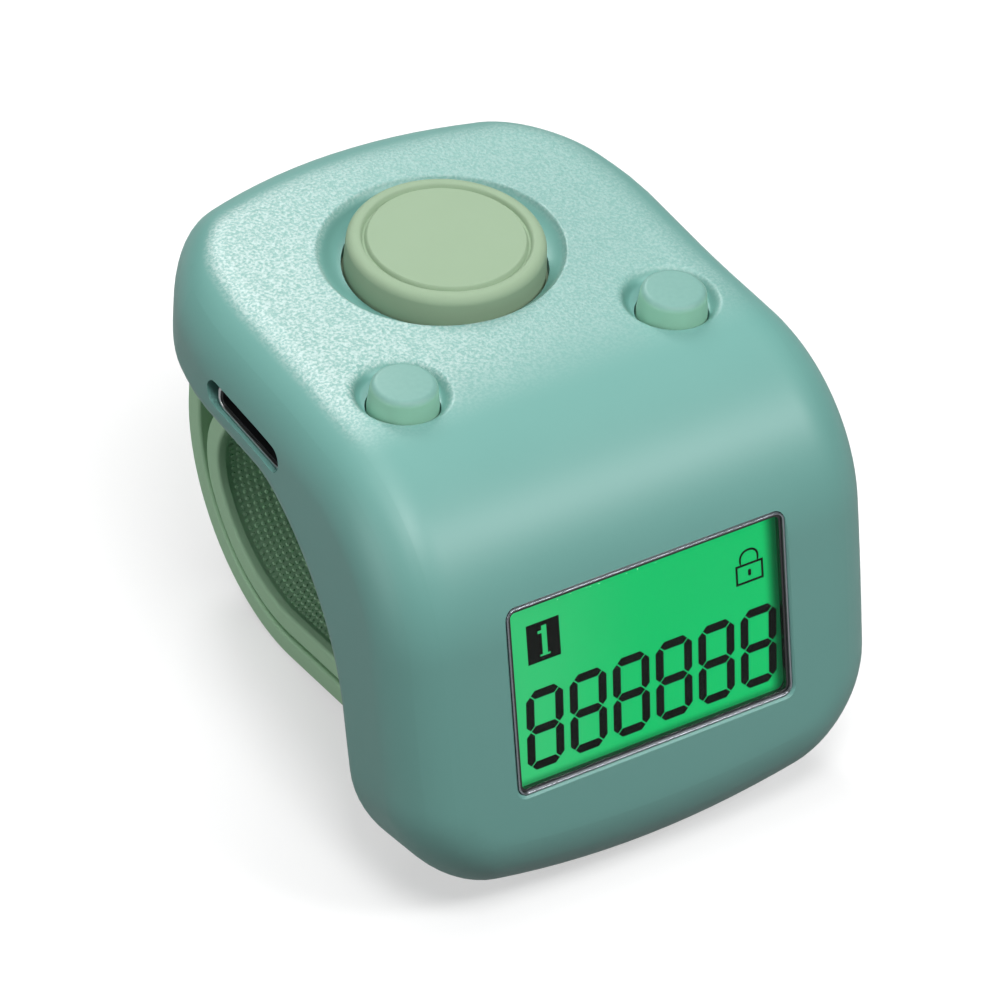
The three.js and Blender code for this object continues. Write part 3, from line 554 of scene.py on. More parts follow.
shell_front = -0.14 * mm
shell_back = -5.4 * mm
port_mouth = port_sized("port_mouth", 6.7 * mm, 1.5 * mm, shell_back, shell_front, 0.62 * mm)
carve(port_mouth, port_sized("tool", 6.3 * mm, 1.1 * mm, shell_back - mm, mm, 0.48 * mm))
pick(port_mouth, "edges", at_height(shell_front))
bpy.ops.mesh.bevel(offset=0.05 * mm, segments=3, affect="EDGES")
done(port_mouth)
seat(in_port(port_mouth), "case", "steel", "port_shell")

insert_front = shell_front - 0.14 * mm
port_insert = port_sized("port_insert", 6.28 * mm, 1.08 * mm, shell_back, insert_front, 0.47 * mm)
carve(port_insert, port_sized("tool", 6.12 * mm, 0.92 * mm, -3.6 * mm, mm, 0.4 * mm))
carve(port_insert, port_sized("tongue", 4.7 * mm, 0.28 * mm, -4 * mm, -1.3 * mm, 0.08 * mm), "UNION")
seat(in_port(port_insert), "case", "dark_plastic", "port_tongue")

# %% [markdown]
# The large button is one turned piece: a flange under the roof, a wall, a soft shoulder and
# a flat top with a fine ring groove. Turning an outline gives a truly round piece. The small
# buttons are the same without the groove.

# %% Buttons
flange_top = -1.5 * mm
flange_low = -2 * mm


def button_outline(radius, foot, rise, edge, flange, ring=0):
    outline = [(0, flange_low), (flange, flange_low), (flange, flange_top), (foot, flange_top)]
    outline += [(foot, -0.4 * mm)]
    outline += arc((radius - edge, rise - edge), edge, 0, 90, 12)
    if ring:
        half_groove = [(0.24, 0), (0.18, 0.03), (0.11, 0.15), (0.05, 0.26)]
        groove = half_groove + [(-across, down) for across, down in reversed(half_groove)]
        outline += [(ring + across * mm, rise - down * mm) for across, down in groove]
    return outline + [(0, rise)]


count_outline = button_outline(
    count_radius, count_foot, rise=1.12 * mm, edge=0.52 * mm, flange=6.3 * mm, ring=4.46 * mm)
count_button = turned_piece("count_cap", count_outline, 112, 0, count_setback)
smooth(count_button, 50)
seat(count_button, "count", "button_silicone", "count_button")

small_outline = button_outline(
    small_radius, small_foot, rise=1.1 * mm, edge=0.38 * mm, flange=2.45 * mm)
small_caps = []
for name, x in (("reset", -small_x), ("mode", small_x)):
    small_button = turned_piece(name + "_cap", small_outline, 64, x, 0)
    smooth(small_button, 50)
    small_caps.append(seat(small_button, name, "case_plastic", name + "_button"))

# %% [markdown]
# The display is a stack. A thin clear lens sits almost flush in the window, in a glossy black
# bed, and a fine polished bead runs round it. Under it a black sleeve lines the window down to
# the lit panel, whose raised face fills the sleeve. Seen from the side, the sleeve gives the
# dark band along the window's far edges.

# %% Lens, bed, bead and sleeve
lens_top = -0.12 * mm
lens_low = -0.28 * mm
panel_top = -0.84 * mm
cell_top = -1.525 * mm
sleeve_wall = 0.12 * mm
bed_width = 0.36 * mm

lens = window_sized(
    "window_lens", -bed_width, lens_low, lens_top, 0.46 * mm, top_edge=0.05 * mm, steps=3)
smooth(lens, 40)
seat(on_front(lens), "case", "clear_lens", "display_lens")


def window_ring(name, outside, inside, low, high, soft):
    ring = window_sized(name, -outside, low, high, window_corner - outside, steps=6)
    carve(ring, window_sized("tool", -inside, low - mm, high + mm, window_corner - inside, steps=6))
    pick(ring, "edges", at_height(high))
    bpy.ops.mesh.bevel(offset=soft, segments=3, affect="EDGES")
    done(ring)
    smooth(ring, 50)
    return on_front(ring)


bed = window_ring(
    "lens_bed", outside=0.01 * mm, inside=bed_width - 0.01 * mm,
    low=-0.5 * mm, high=-0.2 * mm, soft=0.03 * mm)
seat(bed, "case", "dark_plastic")
bead = window_ring(
    "lens_bead", outside=0.05 * mm, inside=0.17 * mm,
    low=-0.21 * mm, high=-0.06 * mm, soft=0.05 * mm)
seat(bead, "case", "steel")
sleeve = window_ring(
    "window_sleeve", outside=0.01 * mm, inside=sleeve_wall,
    low=cell_top + 0.02 * mm, high=-0.51 * mm, soft=0.01 * mm)
seat(sleeve, "case", "black_rubber", "display_gasket")

# %% [markdown]
# The lit panel fills the sleeve from below and gives the green light behind the marks.

# %% Lit panel
face_grow = -sleeve_wall - 0.01 * mm
lit_panel = window_sized(
    "display_panel", face_grow, cell_top - 0.6 * mm, panel_top, 0.5 * mm, steps=4)
smooth(lit_panel, 40)
seat(on_front(lit_panel), "case", "display")

# %% [markdown]
# The marks on the display are thin dark films. One bar with pointed ends is modelled and
# copied seven times for a digit, and the digit is copied six times. A small box with a
# figure one in it and a plain lock stand above, as such displays have.

# %% Display marks
film_low = panel_top + 0.004 * mm
film_high = panel_top + 0.02 * mm
stroke = 0.5 * mm
digit_width = 2.3 * mm
digit_height = 4.75 * mm
digit_pitch = 2.7 * mm
digit_slant = 0.045
first_digit = (-7.62 * mm, -5.0 * mm, 0)


def join(pieces):
    take(pieces[0])
    for piece in pieces[1:]:
        piece.select_set(True)
    bpy.ops.object.join()
    return pieces[0]


def copied(piece, x):
    copy = piece.copy()
    copy.data = piece.data.copy()
    bpy.context.scene.collection.objects.link(copy)
    copy.data.transform(Matrix.Translation((x, 0, 0)))
    return copy


def bar(x0, y0, x1, y1):
    gap = 0.055 * mm
    half = stroke / 2
    along_x = abs(x1 - x0) > abs(y1 - y0)
    if along_x:
        low, high = (min(x0, x1) + gap, y0 - half), (max(x0, x1) - gap, y0 + half)
    else:
        low, high = (x0 - half, min(y0, y1) + gap), (x0 + half, max(y0, y1) - gap)
    return rounded_plate("bar", (*low, film_low), (*high, film_high), half * 0.98, steps=1)


left, right = stroke / 2, digit_width - stroke / 2
low, mid, high = stroke / 2, digit_height / 2, digit_height - stroke / 2
bars = [bar(left, y, right, y) for y in (low, mid, high)]
for x in (left, right):
    bars += [bar(x, low, x, mid), bar(x, mid, x, high)]
digit = join(bars)
slanted = Matrix(((1, digit_slant, 0, 0), (0, 1, 0, 0), (0, 0, 1, 0), (0, 0, 0, 1)))
digit.data.transform(Matrix.Translation(first_digit) @ slanted)
digits = [digit] + [copied(digit, k * digit_pitch) for k in range(1, 6)]
print("digits", len(digits))

# %% [markdown]
# The box is a plate with the figure cut out of it. The lock is a hollow body with a keyhole,
# and its shackle is a hollow plate that is cut off at the body.

# %% Box and lock
box_mark = new_block("box", (-7.12 * mm, 1.36 * mm, film_low), (-5.1 * mm, 3.72 * mm, film_high))
figure = [
    new_block("one", (-6.2 * mm, 1.64 * mm, -2 * mm), (-5.88 * mm, 3.46 * mm, 0)),
    new_block("foot", (-6.36 * mm, 1.64 * mm, -2 * mm), (-5.72 * mm, 1.76 * mm, 0)),
    new_block("flag", (-6.44 * mm, 3.02 * mm, -2 * mm), (-6.02 * mm, 3.2 * mm, 0)),
]
for tool in figure:
    carve(box_mark, tool)

body_mark = new_block("lock", (5.93 * mm, 1.42 * mm, film_low), (7.68 * mm, 2.62 * mm, film_high))
carve(body_mark, new_block("tool", (6.06 * mm, 1.55 * mm, -2 * mm), (7.55 * mm, 2.49 * mm, 0)))
hole_mark = new_block("keyhole", (6.71 * mm, 1.82 * mm, film_low), (6.91 * mm, 2.22 * mm, film_high))
pick(hole_mark, "edges", upright_edge)
bpy.ops.mesh.bevel(offset=0.09 * mm, segments=4, affect="EDGES")
done(hole_mark)
shackle = rounded_plate(
    "shackle", (6.18 * mm, 2.3 * mm, film_low), (7.42 * mm, 3.47 * mm, film_high), 0.56 * mm, steps=8)
inside = rounded_plate(
    "tool", (6.3 * mm, 2.2 * mm, -2 * mm), (7.3 * mm, 3.35 * mm, 0), 0.46 * mm, steps=8)
carve(shackle, inside)
whole(shackle)
bpy.ops.mesh.bisect(plane_co=(0, 2.62 * mm, 0), plane_no=(0, 1, 0), clear_inner=True, use_fill=True)
done(shackle)
marks = join([*digits, box_mark, body_mark, hole_mark, shackle])
marks.name = "display_marks"
seat(on_front(marks), "case", "black_rubber")

# %% [markdown]
# The strap is silicone in two layers. Each is modelled as a flat strip with soft edges,
# sliced across, and then carried along its line round the finger. The inner layer has a
# raised rim and a grid of fine knobs that grip the finger, and slots for the stud.

# %% Lines of the strap
strap_width = 17.6 * mm
strap_thickness = 1.25 * mm
strap_gap = 0.3 * mm
strap_radius = 10.5 * mm
strap_rise = math.radians(8)
tab_width = 11.6 * mm
shoulder = 2.6 * mm
pin_bore = 0.72 * mm
strap_y = 20.9 * mm - strap_radius
strap_z = foot_z - 0.06 * mm + strap_radius
outer_radius = strap_radius - strap_thickness / 2
inner_radius = outer_radius - strap_thickness - strap_gap
climb = math.pi / 2 + strap_rise
climb_way = np.array([-math.cos(strap_rise), math.sin(strap_rise)])


def pin_place(name):
    low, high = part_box(name)
    return np.array([(low.y + high.y) / 2 - zero_y, (low.z + high.z) / 2 - zero_z])


rear_pin = pin_place("rear_strap_pin")
front_pin = pin_place("front_strap_pin")


def round_finger(angle, radius):
    return np.array([strap_y, strap_z]) + radius * np.array([math.cos(angle), math.sin(angle)])


def sweep(centre, radius, start, end):
    angles = np.linspace(start, end, 200)[:, None]
    return centre + radius * np.hstack([np.cos(angles), np.sin(angles)])


def curve_through(*controls):
    t = np.linspace(0, 1, 200)[:, None]
    points = [np.array(c, float) * np.ones((200, 1)) for c in controls]
    while len(points) > 1:
        points = [a + (b - a) * t for a, b in zip(points, points[1:])]
    return points[0]


outer_top = round_finger(0, outer_radius)
straight = strap_z + 1.5 * mm
outer_turned = round_finger(-climb, outer_radius)
outer_run = (outer_turned[0] + 2 * mm) / -climb_way[0]
outer_line = np.vstack([
    curve_through(
        rear_pin, rear_pin + (1.3 * mm, -1.5 * mm),
        (outer_top[0], straight + 2.4 * mm), (outer_top[0], straight)),
    curve_through((outer_top[0], straight), outer_top),
    sweep((strap_y, strap_z), outer_radius, 0, -climb),
    curve_through(outer_turned, outer_turned + climb_way * outer_run),
])

inner_turned = round_finger(-climb, inner_radius)
inner_run = (inner_turned[0] - front_pin[0] - shoulder) / -climb_way[0]
inner_shoulder = inner_turned + climb_way * inner_run
leave = math.radians(-32)
lift = math.radians(25)
tip_radius = 4.4 * mm
tip_centre = round_finger(leave, inner_radius - tip_radius)
tip_start = tip_centre + tip_radius * np.array([math.cos(lift), math.sin(lift)])
inner_line = np.vstack([
    curve_through(front_pin, inner_shoulder + climb_way * mm, inner_shoulder),
    curve_through(inner_shoulder, inner_turned),
    sweep((strap_y, strap_z), inner_radius, -climb, leave),
    sweep(tip_centre, tip_radius, leave, lift),
    curve_through(tip_start, tip_start + 3.4 * mm * np.array([-math.sin(lift), math.cos(lift)])),
])


def measured_line(points):
    steps = np.linalg.norm(np.diff(points, axis=0), axis=1)
    kept = np.concatenate([[True], steps > 1e-8])
    points = points[kept]
    along = np.concatenate([[0], np.cumsum(np.linalg.norm(np.diff(points, axis=0), axis=1))])
    return points, along


def lay_along(piece, line):
    points, along = measured_line(line)
    count = len(piece.data.vertices)
    flat = np.empty(count * 3)
    piece.data.vertices.foreach_get("co", flat)
    flat = flat.reshape(-1, 3)
    u = np.clip(flat[:, 1], 0, along[-1])
    beyond = flat[:, 1] - u
    reach = 0.2 * mm

    def at(distance):
        return np.column_stack([np.interp(distance, along, points[:, k]) for k in (0, 1)])

    ahead, behind = np.clip(u + reach, 0, along[-1]), np.clip(u - reach, 0, along[-1])
    way = at(ahead) - at(behind)
    way /= np.linalg.norm(way, axis=1)[:, None]
    across = np.column_stack([-way[:, 1], way[:, 0]])
    place = at(u) + way * beyond[:, None] + across * flat[:, 2:3]
    bent = np.column_stack([flat[:, 0], place])
    piece.data.vertices.foreach_set("co", bent.ravel())
    piece.data.update()
    return piece


for name, line in (("outer", outer_line), ("inner", inner_line)):
    print(name, "strap length", round(measured_line(line)[1][-1] / mm, 2), "mm")

# %% [markdown]
# A strip is a rounded plate with a narrower tab. Its sunk panel and slots are cut while it is
# flat. Then it is laid along its line, and the eye for the pin is added and bored.

# %% Strap layers
def strip(name, line):
    length = measured_line(line)[1][-1]
    half = strap_thickness / 2
    body = rounded_plate(
        name, (-strap_width / 2, shoulder, -half), (strap_width / 2, length + half, half),
        1.9 * mm, top_edge=0.2 * mm, bottom_edge=0.2 * mm, steps=4)
    tab = rounded_plate(
        "tab", (-tab_width / 2, 0, -half), (tab_width / 2, shoulder + 3 * mm, half), 0.3 * mm, steps=3)
    carve(body, tab, "UNION")
    return body, length


slice_step = 0.6 * mm
panel_sunk = 0.2 * mm
panel_rim = 0.55 * mm


def sink_panel(piece, start, end):
    half = strap_thickness / 2
    reach = strap_width / 2 - panel_rim
    tool = rounded_plate(
        "tool", (-reach, start, 0), (reach, end, half), 1.2 * mm, bottom_edge=0.12 * mm, steps=4)
    tool.data.transform(Matrix.Translation((0, 0, half - panel_sunk)))
    carve(piece, tool)


def eye_and_bore(piece, pin):
    for radius, width, operation in ((1.25 * mm, tab_width, "UNION"), (pin_bore, 20 * mm, "DIFFERENCE")):
        bpy.ops.object.select_all(action="DESELECT")
        bpy.ops.mesh.primitive_cylinder_add(vertices=48, radius=radius, depth=width)
        tool = bpy.context.object
        tool.data.transform(Matrix.Translation((0, *pin)) @ Matrix.Rotation(math.pi / 2, 4, "Y"))
        carve(piece, tool, operation)


inner, inner_length = strip("strap_inner_layer", inner_line)
sink_panel(inner, 4.2 * mm, inner_length - panel_rim)
arc_start = measured_line(inner_line[:400])[1][-1]
slot_middles = []
for k in range(3):
    angle = math.radians(-6 - 26 * k)
    middle = arc_start + inner_radius * (angle + climb)
    slot_middles.append(middle)
    tool = rounded_plate(
        "tool", (-1.2 * mm, middle - 2 * mm, -2 * mm), (1.2 * mm, middle + 2 * mm, 2 * mm),
        1.19 * mm, steps=8)
    carve(inner, tool)
slice_across(inner, 1, np.arange(slice_step, inner_length, slice_step))

# %% [markdown]
# The knobs that grip the finger are one small cone with six sides, repeated in a grid by two
# Array modifiers. Those that would hang over a slot are deleted.

# %% Knobs
pitch = 0.42 * mm
columns = 38
rows = int((inner_length - 7.6 * mm) / pitch)
bpy.ops.object.select_all(action="DESELECT")
bpy.ops.mesh.primitive_cone_add(vertices=6, radius1=0.18 * mm, radius2=0.1 * mm, depth=0.14 * mm)
knobs = bpy.context.object
knobs.data.transform(Matrix.Translation((
    -(columns - 1) / 2 * pitch, 5.2 * mm, strap_thickness / 2 - panel_sunk + 0.02 * mm)))
use(knobs, "ARRAY", count=columns, use_relative_offset=False, use_constant_offset=True,
    constant_offset_displace=(pitch, 0, 0))
use(knobs, "ARRAY", count=rows, use_relative_offset=False, use_constant_offset=True,
    constant_offset_displace=(0, pitch, 0))


def over_a_slot(vertex):
    near = [m for m in slot_middles if abs(vertex.co.y - m) < 2.45 * mm]
    return bool(near) and abs(vertex.co.x) < 1.65 * mm


pick(knobs, "verts", over_a_slot)
bpy.ops.mesh.select_linked()
bpy.ops.mesh.delete(type="VERT")
done(knobs)
print("knobs", len(knobs.data.vertices) // 12)

# %% [markdown]
# The flat strip and its knobs are each laid along the line, and then joined.

# %% Inner layer round the finger
lay_along(inner, inner_line)
eye_and_bore(inner, front_pin)
lay_along(knobs, inner_line)
smooth(inner, 40)
smooth(knobs, 60)
inner = join([inner, knobs])
seat(inner, "case", "strap_silicone", "strap_inner")

# %% [markdown]
# The outer layer is made in the same way, without panel or knobs. It is cut flat where the
# counter stands, and a round pocket on the finger's side holds the head of the stud.

# %% Outer layer
outer, outer_length = strip("strap_outer_layer", outer_line)
slice_across(outer, 1, np.arange(slice_step, outer_length, slice_step))
lay_along(outer, outer_line)
eye_and_bore(outer, rear_pin)
whole(outer)
bpy.ops.mesh.bisect(
    plane_co=(0, 0, foot_z), plane_no=(0, 0, 1), clear_inner=True, use_fill=True, threshold=1e-6)
done(outer)
stud_angle = math.radians(-6)
pocket_depth = 0.62 * mm
pocket_middle = 9.25 * mm + pocket_depth - mm
bpy.ops.object.select_all(action="DESELECT")
bpy.ops.mesh.primitive_cylinder_add(vertices=48, radius=1.62 * mm, depth=2 * mm)
pocket = bpy.context.object
pocket.data.transform(
    Matrix.Translation((0, strap_y, strap_z))
    @ Matrix.Rotation(stud_angle - math.pi / 2, 4, "X")
    @ Matrix.Translation((0, 0, pocket_middle)))
carve(outer, pocket)
smooth(outer, 40)
seat(outer, "strap", "strap_silicone", "strap_outer")

# %% [markdown]
# Finishes are worked out by nodes. Each is a recipe of maths on noise and on the place on the
# object, so one small class lets the maths be written as plain Python expressions.

# %% Shader maths
class Amount:
    def __init__(self, finish, socket):
        self.finish = finish
        self.socket = socket

    def maths(self, operation, first, second):
        return self.finish.node("ShaderNodeMath", {"operation": operation}, {0: first, 1: second})

    def larger(self, other):
        return self.maths("MAXIMUM", self, other)

    def __add__(self, other):
        return self.maths("ADD", self, other)

    def __radd__(self, other):
        return self.maths("ADD", other, self)

    def __sub__(self, other):
        return self.maths("SUBTRACT", self, other)

    def __rsub__(self, other):
        return self.maths("SUBTRACT", other, self)

    def __mul__(self, other):
        return self.maths("MULTIPLY", self, other)

    def __rmul__(self, other):
        return self.maths("MULTIPLY", other, self)


class Finish:
    def __init__(self, name, **constants):
        self.material = bpy.data.materials.new(name)
        self.material.use_nodes = True
        self.tree = self.material.node_tree
        self.shader = self.tree.nodes["Principled BSDF"]
        for key, value in constants.items():
            self.shader.inputs[key.replace("_", " ")].default_value = value

    def node(self, kind, settings=None, sockets=None, output=0):
        node = self.tree.nodes.new(kind)
        for key, value in (settings or {}).items():
            setattr(node, key, value)
        for key, value in (sockets or {}).items():
            if isinstance(value, Amount):
                self.tree.links.new(value.socket, node.inputs[key])
            else:
                node.inputs[key].default_value = value
        return Amount(self, node.outputs[output])

    def place(self):
        return self.node("ShaderNodeTexCoord", output="Object")

    def axes(self):
        split = self.node("ShaderNodeSeparateXYZ", None, {0: self.place()})
        outputs = split.socket.node.outputs
        return [Amount(self, outputs[k]) for k in range(3)]

    def noise(self, size, detail=2, roughness=0.5):
        sockets = {"Vector": self.place(), "Scale": 1 / size, "Detail": detail, "Roughness": roughness}
        return self.node("ShaderNodeTexNoise", None, sockets)

    def fade(self, amount, start, end, low=0.0, high=1.0):
        sockets = {"Value": amount, "From Min": start, "From Max": end, "To Min": low, "To Max": high}
        settings = {"interpolation_type": "SMOOTHSTEP"}
        return self.node("ShaderNodeMapRange", settings, sockets)

    def blend(self, share, first, second):
        sockets = {"Factor": share, 6: first, 7: second}
        return self.node("ShaderNodeMix", {"data_type": "RGBA"}, sockets, output=2)

    def bump(self, height, depth, strength=1.0):
        sockets = {"Height": height, "Distance": depth, "Strength": strength}
        return self.node("ShaderNodeBump", None, sockets)

    def feed(self, **links):
        for key, value in links.items():
            self.tree.links.new(value.socket, self.shader.inputs[key.replace("_", " ")])
        return self.material


def srgb(red, green, blue):
    def linear(c):
        c /= 255
        return c / 12.92 if c <= 0.04045 else ((c + 0.055) / 1.055) ** 2.4
    return (linear(red), linear(green), linear(blue), 1.0)


# %% [markdown]
# The case is satin plastic. Only its flat top has the fine sparkling grain, so the grain is multiplied
# by a mask that is one on the flat and fades to zero over the edges. The grain's pale specks are painted
# stronger towards the left, and a thin pale wash lies over the whole flat: both are painted sheen on top
# of the real grain. The small buttons have the same colour without the grain, and a wall painted paler,
# which is painted light.

# %% Case finish
def case_finish():
    finish = Finish("case_satin_teal", Specular_IOR_Level=0.5)
    x, y, z = finish.axes()
    on_flat = finish.fade(z, zero_z - 0.45 * mm, zero_z - 0.03 * mm)
    on_flat = on_flat * finish.fade(y, zero_y - 3.5 * mm, zero_y + 2 * mm)
    grain = finish.noise(0.17 * mm, detail=3, roughness=0.6)
    cloud = finish.noise(7 * mm, detail=2)
    speck = finish.fade(grain, 0.34, 0.68)
    base = finish.blend(cloud, srgb(104, 156, 148), srgb(108, 159, 151))
    # Painted sheen: the pale specks grow stronger towards the left, and a thin pale wash covers the
    # whole flat top.
    painted_sheen_to_left = finish.fade(x, -12 * mm, 4 * mm, 0.56, 0.2)
    pale = finish.blend((speck * painted_sheen_to_left + 0.07) * on_flat, base, srgb(212, 224, 222))
    height = grain * on_flat + finish.noise(0.5 * mm) * 0.1
    return finish.feed(
        Base_Color=pale,
        Roughness=0.42 - on_flat * 0.06 + cloud * 0.04,
        Normal=finish.bump(height, 0.04 * mm),
    )


case_paint = case_finish()
small_paint = Finish("button_satin_teal", Specular_IOR_Level=0.3)
small_z = small_paint.axes()[2]
small_grain = small_paint.noise(0.3 * mm)
# Painted light: the wall below the cap's top is painted paler and greener than the top, as if lit from
# the front.
top_over_painted_lit_wall = small_paint.fade(small_z, zero_z + 0.72 * mm, zero_z + 1.06 * mm)
small_top = small_paint.blend(small_grain, srgb(112, 156, 147), srgb(122, 165, 156))
small_paint.feed(
    Base_Color=small_paint.blend(top_over_painted_lit_wall, srgb(150, 203, 178), small_top),
    Roughness=0.4 + small_grain * 0.1,
)
print(case_paint.name, len(case_paint.node_tree.nodes), "nodes")

# %% [markdown]
# The other finishes share one recipe: two near colours mixed by a large soft noise, and a fine
# noise that varies the roughness and lifts the surface a little.

# %% Silicone, metal and inner finishes
def grained(name, first, second, roughness, size=0.4 * mm, depth=0.01 * mm, **constants):
    finish = Finish(name, **constants)
    cloud = finish.noise(size * 12, detail=3)
    fine = finish.noise(size, detail=3, roughness=0.6)
    return finish.feed(
        Base_Color=finish.blend(cloud, first, second),
        Roughness=roughness - 0.04 + fine * 0.08,
        Normal=finish.bump(fine, depth, 0.5),
    )


button_paint = grained(
    "button_sage", srgb(138, 161, 133), srgb(144, 166, 139), 0.72, Specular_IOR_Level=0.3)
# Painted light: the strap's colours are painted far paler than its own sage, standing in for light that
# it misses under the case.
strap_paint_with_painted_light = grained(
    "strap_sage", srgb(184, 228, 188), srgb(190, 232, 194), 0.65, Specular_IOR_Level=0.3)
bead_paint = grained(
    "bead_polished", srgb(132, 136, 144), srgb(156, 160, 167), 0.24, 2 * mm, 0.001 * mm, Metallic=0.8)
marks_paint = grained(
    "marks_dark", srgb(18, 20, 19), srgb(26, 28, 26), 0.6, Specular_IOR_Level=0.1)
bed_paint = grained(
    "bed_black_gloss", srgb(20, 21, 24), srgb(26, 27, 30), 0.12, 2 * mm, 0.001 * mm,
    Specular_IOR_Level=0.6)
steel_paint = grained(
    "steel_bright", srgb(186, 188, 190), srgb(200, 202, 203), 0.3, depth=0.001 * mm, Metallic=1.0)
dark_paint = grained("plastic_black", srgb(36, 38, 40), srgb(44, 46, 48), 0.5)
pale_paint = grained("plastic_pale", srgb(228, 224, 210), srgb(236, 234, 224), 0.5)
board_paint = grained("board_green", srgb(28, 86, 54), srgb(34, 98, 62), 0.4)
rubber_paint = grained("rubber_black", srgb(26, 28, 28), srgb(34, 35, 35), 0.75)
foil_paint = grained("battery_foil", srgb(160, 164, 168), srgb(178, 181, 184), 0.38, Metallic=0.9)
red_paint = grained("wire_red", srgb(168, 36, 32), srgb(182, 44, 38), 0.45)
film_paint = grained("film_amber", srgb(160, 98, 36), srgb(174, 110, 44), 0.35)
print("materials so far", len(bpy.data.materials))

# %% [markdown]
# The display lights itself. Its green is painted paler at the left, a painted reflection, and painted
# darker along the right and lower edges, a painted shade where the window's wall hides the light. The
# lens is a dark clear film: its alpha lets most of the light through and leaves a soft reflection.

# %% Display finishes
lit_paint = Finish("display_lit", Roughness=0.5, Specular_IOR_Level=0.0, Emission_Strength=1.0)
lit_x, lit_y, lit_z = lit_paint.axes()
window_up = front_place.to_3x3() @ Vector((0, 1, 0))
window_zero = window_centre + np.array([zero_y, zero_z])
lit_v = (lit_y - window_zero[0]) * window_up.y + (lit_z - window_zero[1]) * window_up.z
lit_glow = lit_paint.noise(6 * mm)
lit_colour = lit_paint.blend(lit_glow, srgb(24, 207, 113), srgb(30, 212, 119))
# Painted reflection: the green is painted paler towards the left.
painted_sheen_to_left = lit_paint.fade(lit_x, -8.4 * mm, 1 * mm, 0.22, 0.0)
lit_colour = lit_paint.blend(painted_sheen_to_left, lit_colour, srgb(120, 226, 164))
# Painted shade: the green is painted darker along the right and lower edges, where the window's wall
# hides the light.
right_painted_shade = lit_paint.fade(lit_x, 7.6 * mm, 8.5 * mm, 0.0, 0.9)
foot_painted_shade = lit_paint.fade(lit_v, -5.7 * mm, -5.2 * mm, 0.6, 0.0)
lit_colour = lit_paint.blend(right_painted_shade, lit_colour, srgb(4, 46, 28))
lit_colour = lit_paint.blend(foot_painted_shade, lit_colour, srgb(6, 90, 48))
lit_base = lit_paint.blend(lit_glow, srgb(12, 60, 34), srgb(14, 66, 38))
lit_paint.feed(Base_Color=lit_base, Emission_Color=lit_colour)
lens_paint = Finish("lens_clear", Roughness=0.04, Specular_IOR_Level=0.5)
lens_cloud = lens_paint.noise(3 * mm)
lens_tint = lens_paint.blend(lens_cloud, srgb(20, 26, 24), srgb(26, 32, 30))
lens_paint.feed(Base_Color=lens_tint, Alpha=0.1 + lens_cloud * 0.03)
print(lit_paint.material.name, len(lit_paint.tree.nodes), "nodes")

# %% [markdown]
# Each node and each new piece takes the finish that its slot in the record names. A few small
# pieces then get a finish of their own.

# %% Putting the finishes on
paints = {
    "case_plastic": case_paint,
    "button_silicone": button_paint,
    "strap_silicone": strap_paint_with_painted_light,
    "steel": steel_paint,
    "dark_plastic": dark_paint,
    "pale_plastic": pale_paint,
    "circuit_board": board_paint,
    "clear_lens": lens_paint.material,
    "black_rubber": rubber_paint,
    "display": lit_paint.material,
    "battery_foil": foil_paint,
    "red_wire": red_paint,
    "amber_film": film_paint,
}
slots = {part["node"]: part["material_slot"] for part in frame["record"]["subparts"]}


def paint(piece, material):
    piece.data.materials.clear()
    piece.data.materials.append(material)


for name, node in frame["nodes"].items():
    paint(node, paints[slots[name]])
for piece in bpy.data.objects:
    if piece.type == "MESH" and "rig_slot" in piece:
        paint(piece, paints[piece["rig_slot"]])
paint(marks, marks_paint)
paint(bead, bead_paint)
paint(bed, bed_paint)
for cap in small_caps:
    paint(cap, small_paint.material)
print("finishes", len(paints))

# %% [markdown]
# A wide floor and soft lamps, under a sky that is nearly dark. Two small lamps behind the counter give
# the white sheen on the left of the top, to which the case's finish adds painted sheen; a broad one
# hangs above, and three light the front and the left side. The floor looks white to the camera and
# through the lens, less than half as bright in a reflection, and dark to light that bounces, so that the
# sides keep their colour. It still takes the counter's shadow.

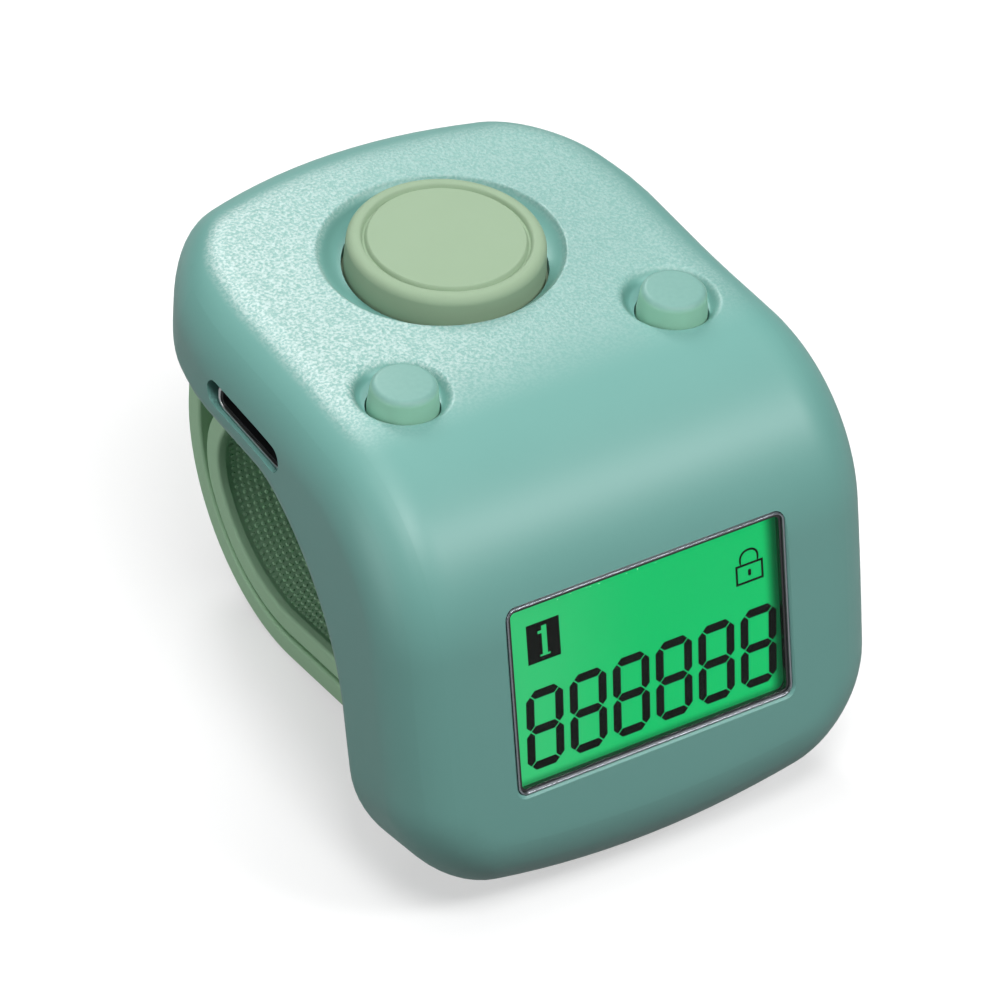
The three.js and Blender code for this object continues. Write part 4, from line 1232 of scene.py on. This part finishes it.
# %% Floor, lamps and sky
bpy.ops.object.select_all(action="DESELECT")
bpy.ops.mesh.primitive_plane_add(size=4, location=(0, 0, -0.2 * mm))
floor = bpy.context.object
floor.name = "floor"
floor_finish = Finish("floor_white")
path_node = floor_finish.node("ShaderNodeLightPath").socket.node
by_camera, by_gloss, by_glass = [
    Amount(floor_finish, path_node.outputs[f"Is {kind} Ray"])
    for kind in ("Camera", "Glossy", "Transmission")]
gloss_share = 0.42
seen = by_camera.larger((by_gloss * gloss_share).larger(by_glass))
shown = floor_finish.node("ShaderNodeBsdfDiffuse", None, {"Color": (0.95, 0.95, 0.95, 1)})
glow = floor_finish.node("ShaderNodeEmission", None, {"Color": (1, 1, 1, 1), "Strength": 1.0})
light_floor = floor_finish.node("ShaderNodeMixShader", None, {0: 0.55, 1: shown, 2: glow})
plain = floor_finish.node("ShaderNodeBsdfDiffuse", None, {"Color": (0.12, 0.12, 0.12, 1)})
both = floor_finish.node("ShaderNodeMixShader", None, {0: seen, 1: plain, 2: light_floor})
output = floor_finish.tree.nodes["Material Output"]
floor_finish.tree.links.new(both.socket, output.inputs[0])
paint(floor, floor_finish.material)


def lamp(name, place, target, width, height, power):
    data = bpy.data.lights.new(name, "AREA")
    data.shape = "RECTANGLE"
    data.size = width
    data.size_y = height
    data.energy = power
    thing = bpy.data.objects.new(name, data)
    bpy.context.scene.collection.objects.link(thing)
    thing.location = place
    aim = Vector(target) - Vector(place)
    thing.rotation_euler = aim.to_track_quat("-Z", "Y").to_euler()


middle = (0, 0, 0.012)
left_of_top = (-0.015, 0.006, 0.025)
lamp("sheen_lamp", (0.0446, 0.1476, 0.159), left_of_top, 0.05, 0.05, 0.12)
lamp("sheen_fill", (0.03, 0.17, 0.13), left_of_top, 0.04, 0.04, 0.08)
lamp("top_lamp", (-0.05, 0.05, 0.54), middle, 0.4, 0.4, 1.02)
lamp("near_lamp", (-0.05, -0.12, 0.28), middle, 0.1, 0.1, 0.5)
lamp("front_lamp", (0.11, -0.15, 0.2), middle, 0.06, 0.06, 0.28)
lamp("left_lamp", (-0.45, 0.0, 0.15), middle, 0.3, 0.3, 0.62)
world = bpy.data.worlds.new("sky")
bpy.context.scene.world = world
world.use_nodes = True
sky = world.node_tree.nodes["Background"]
sky.inputs["Color"].default_value = (1, 1, 1, 1)
sky.inputs["Strength"].default_value = 0.02
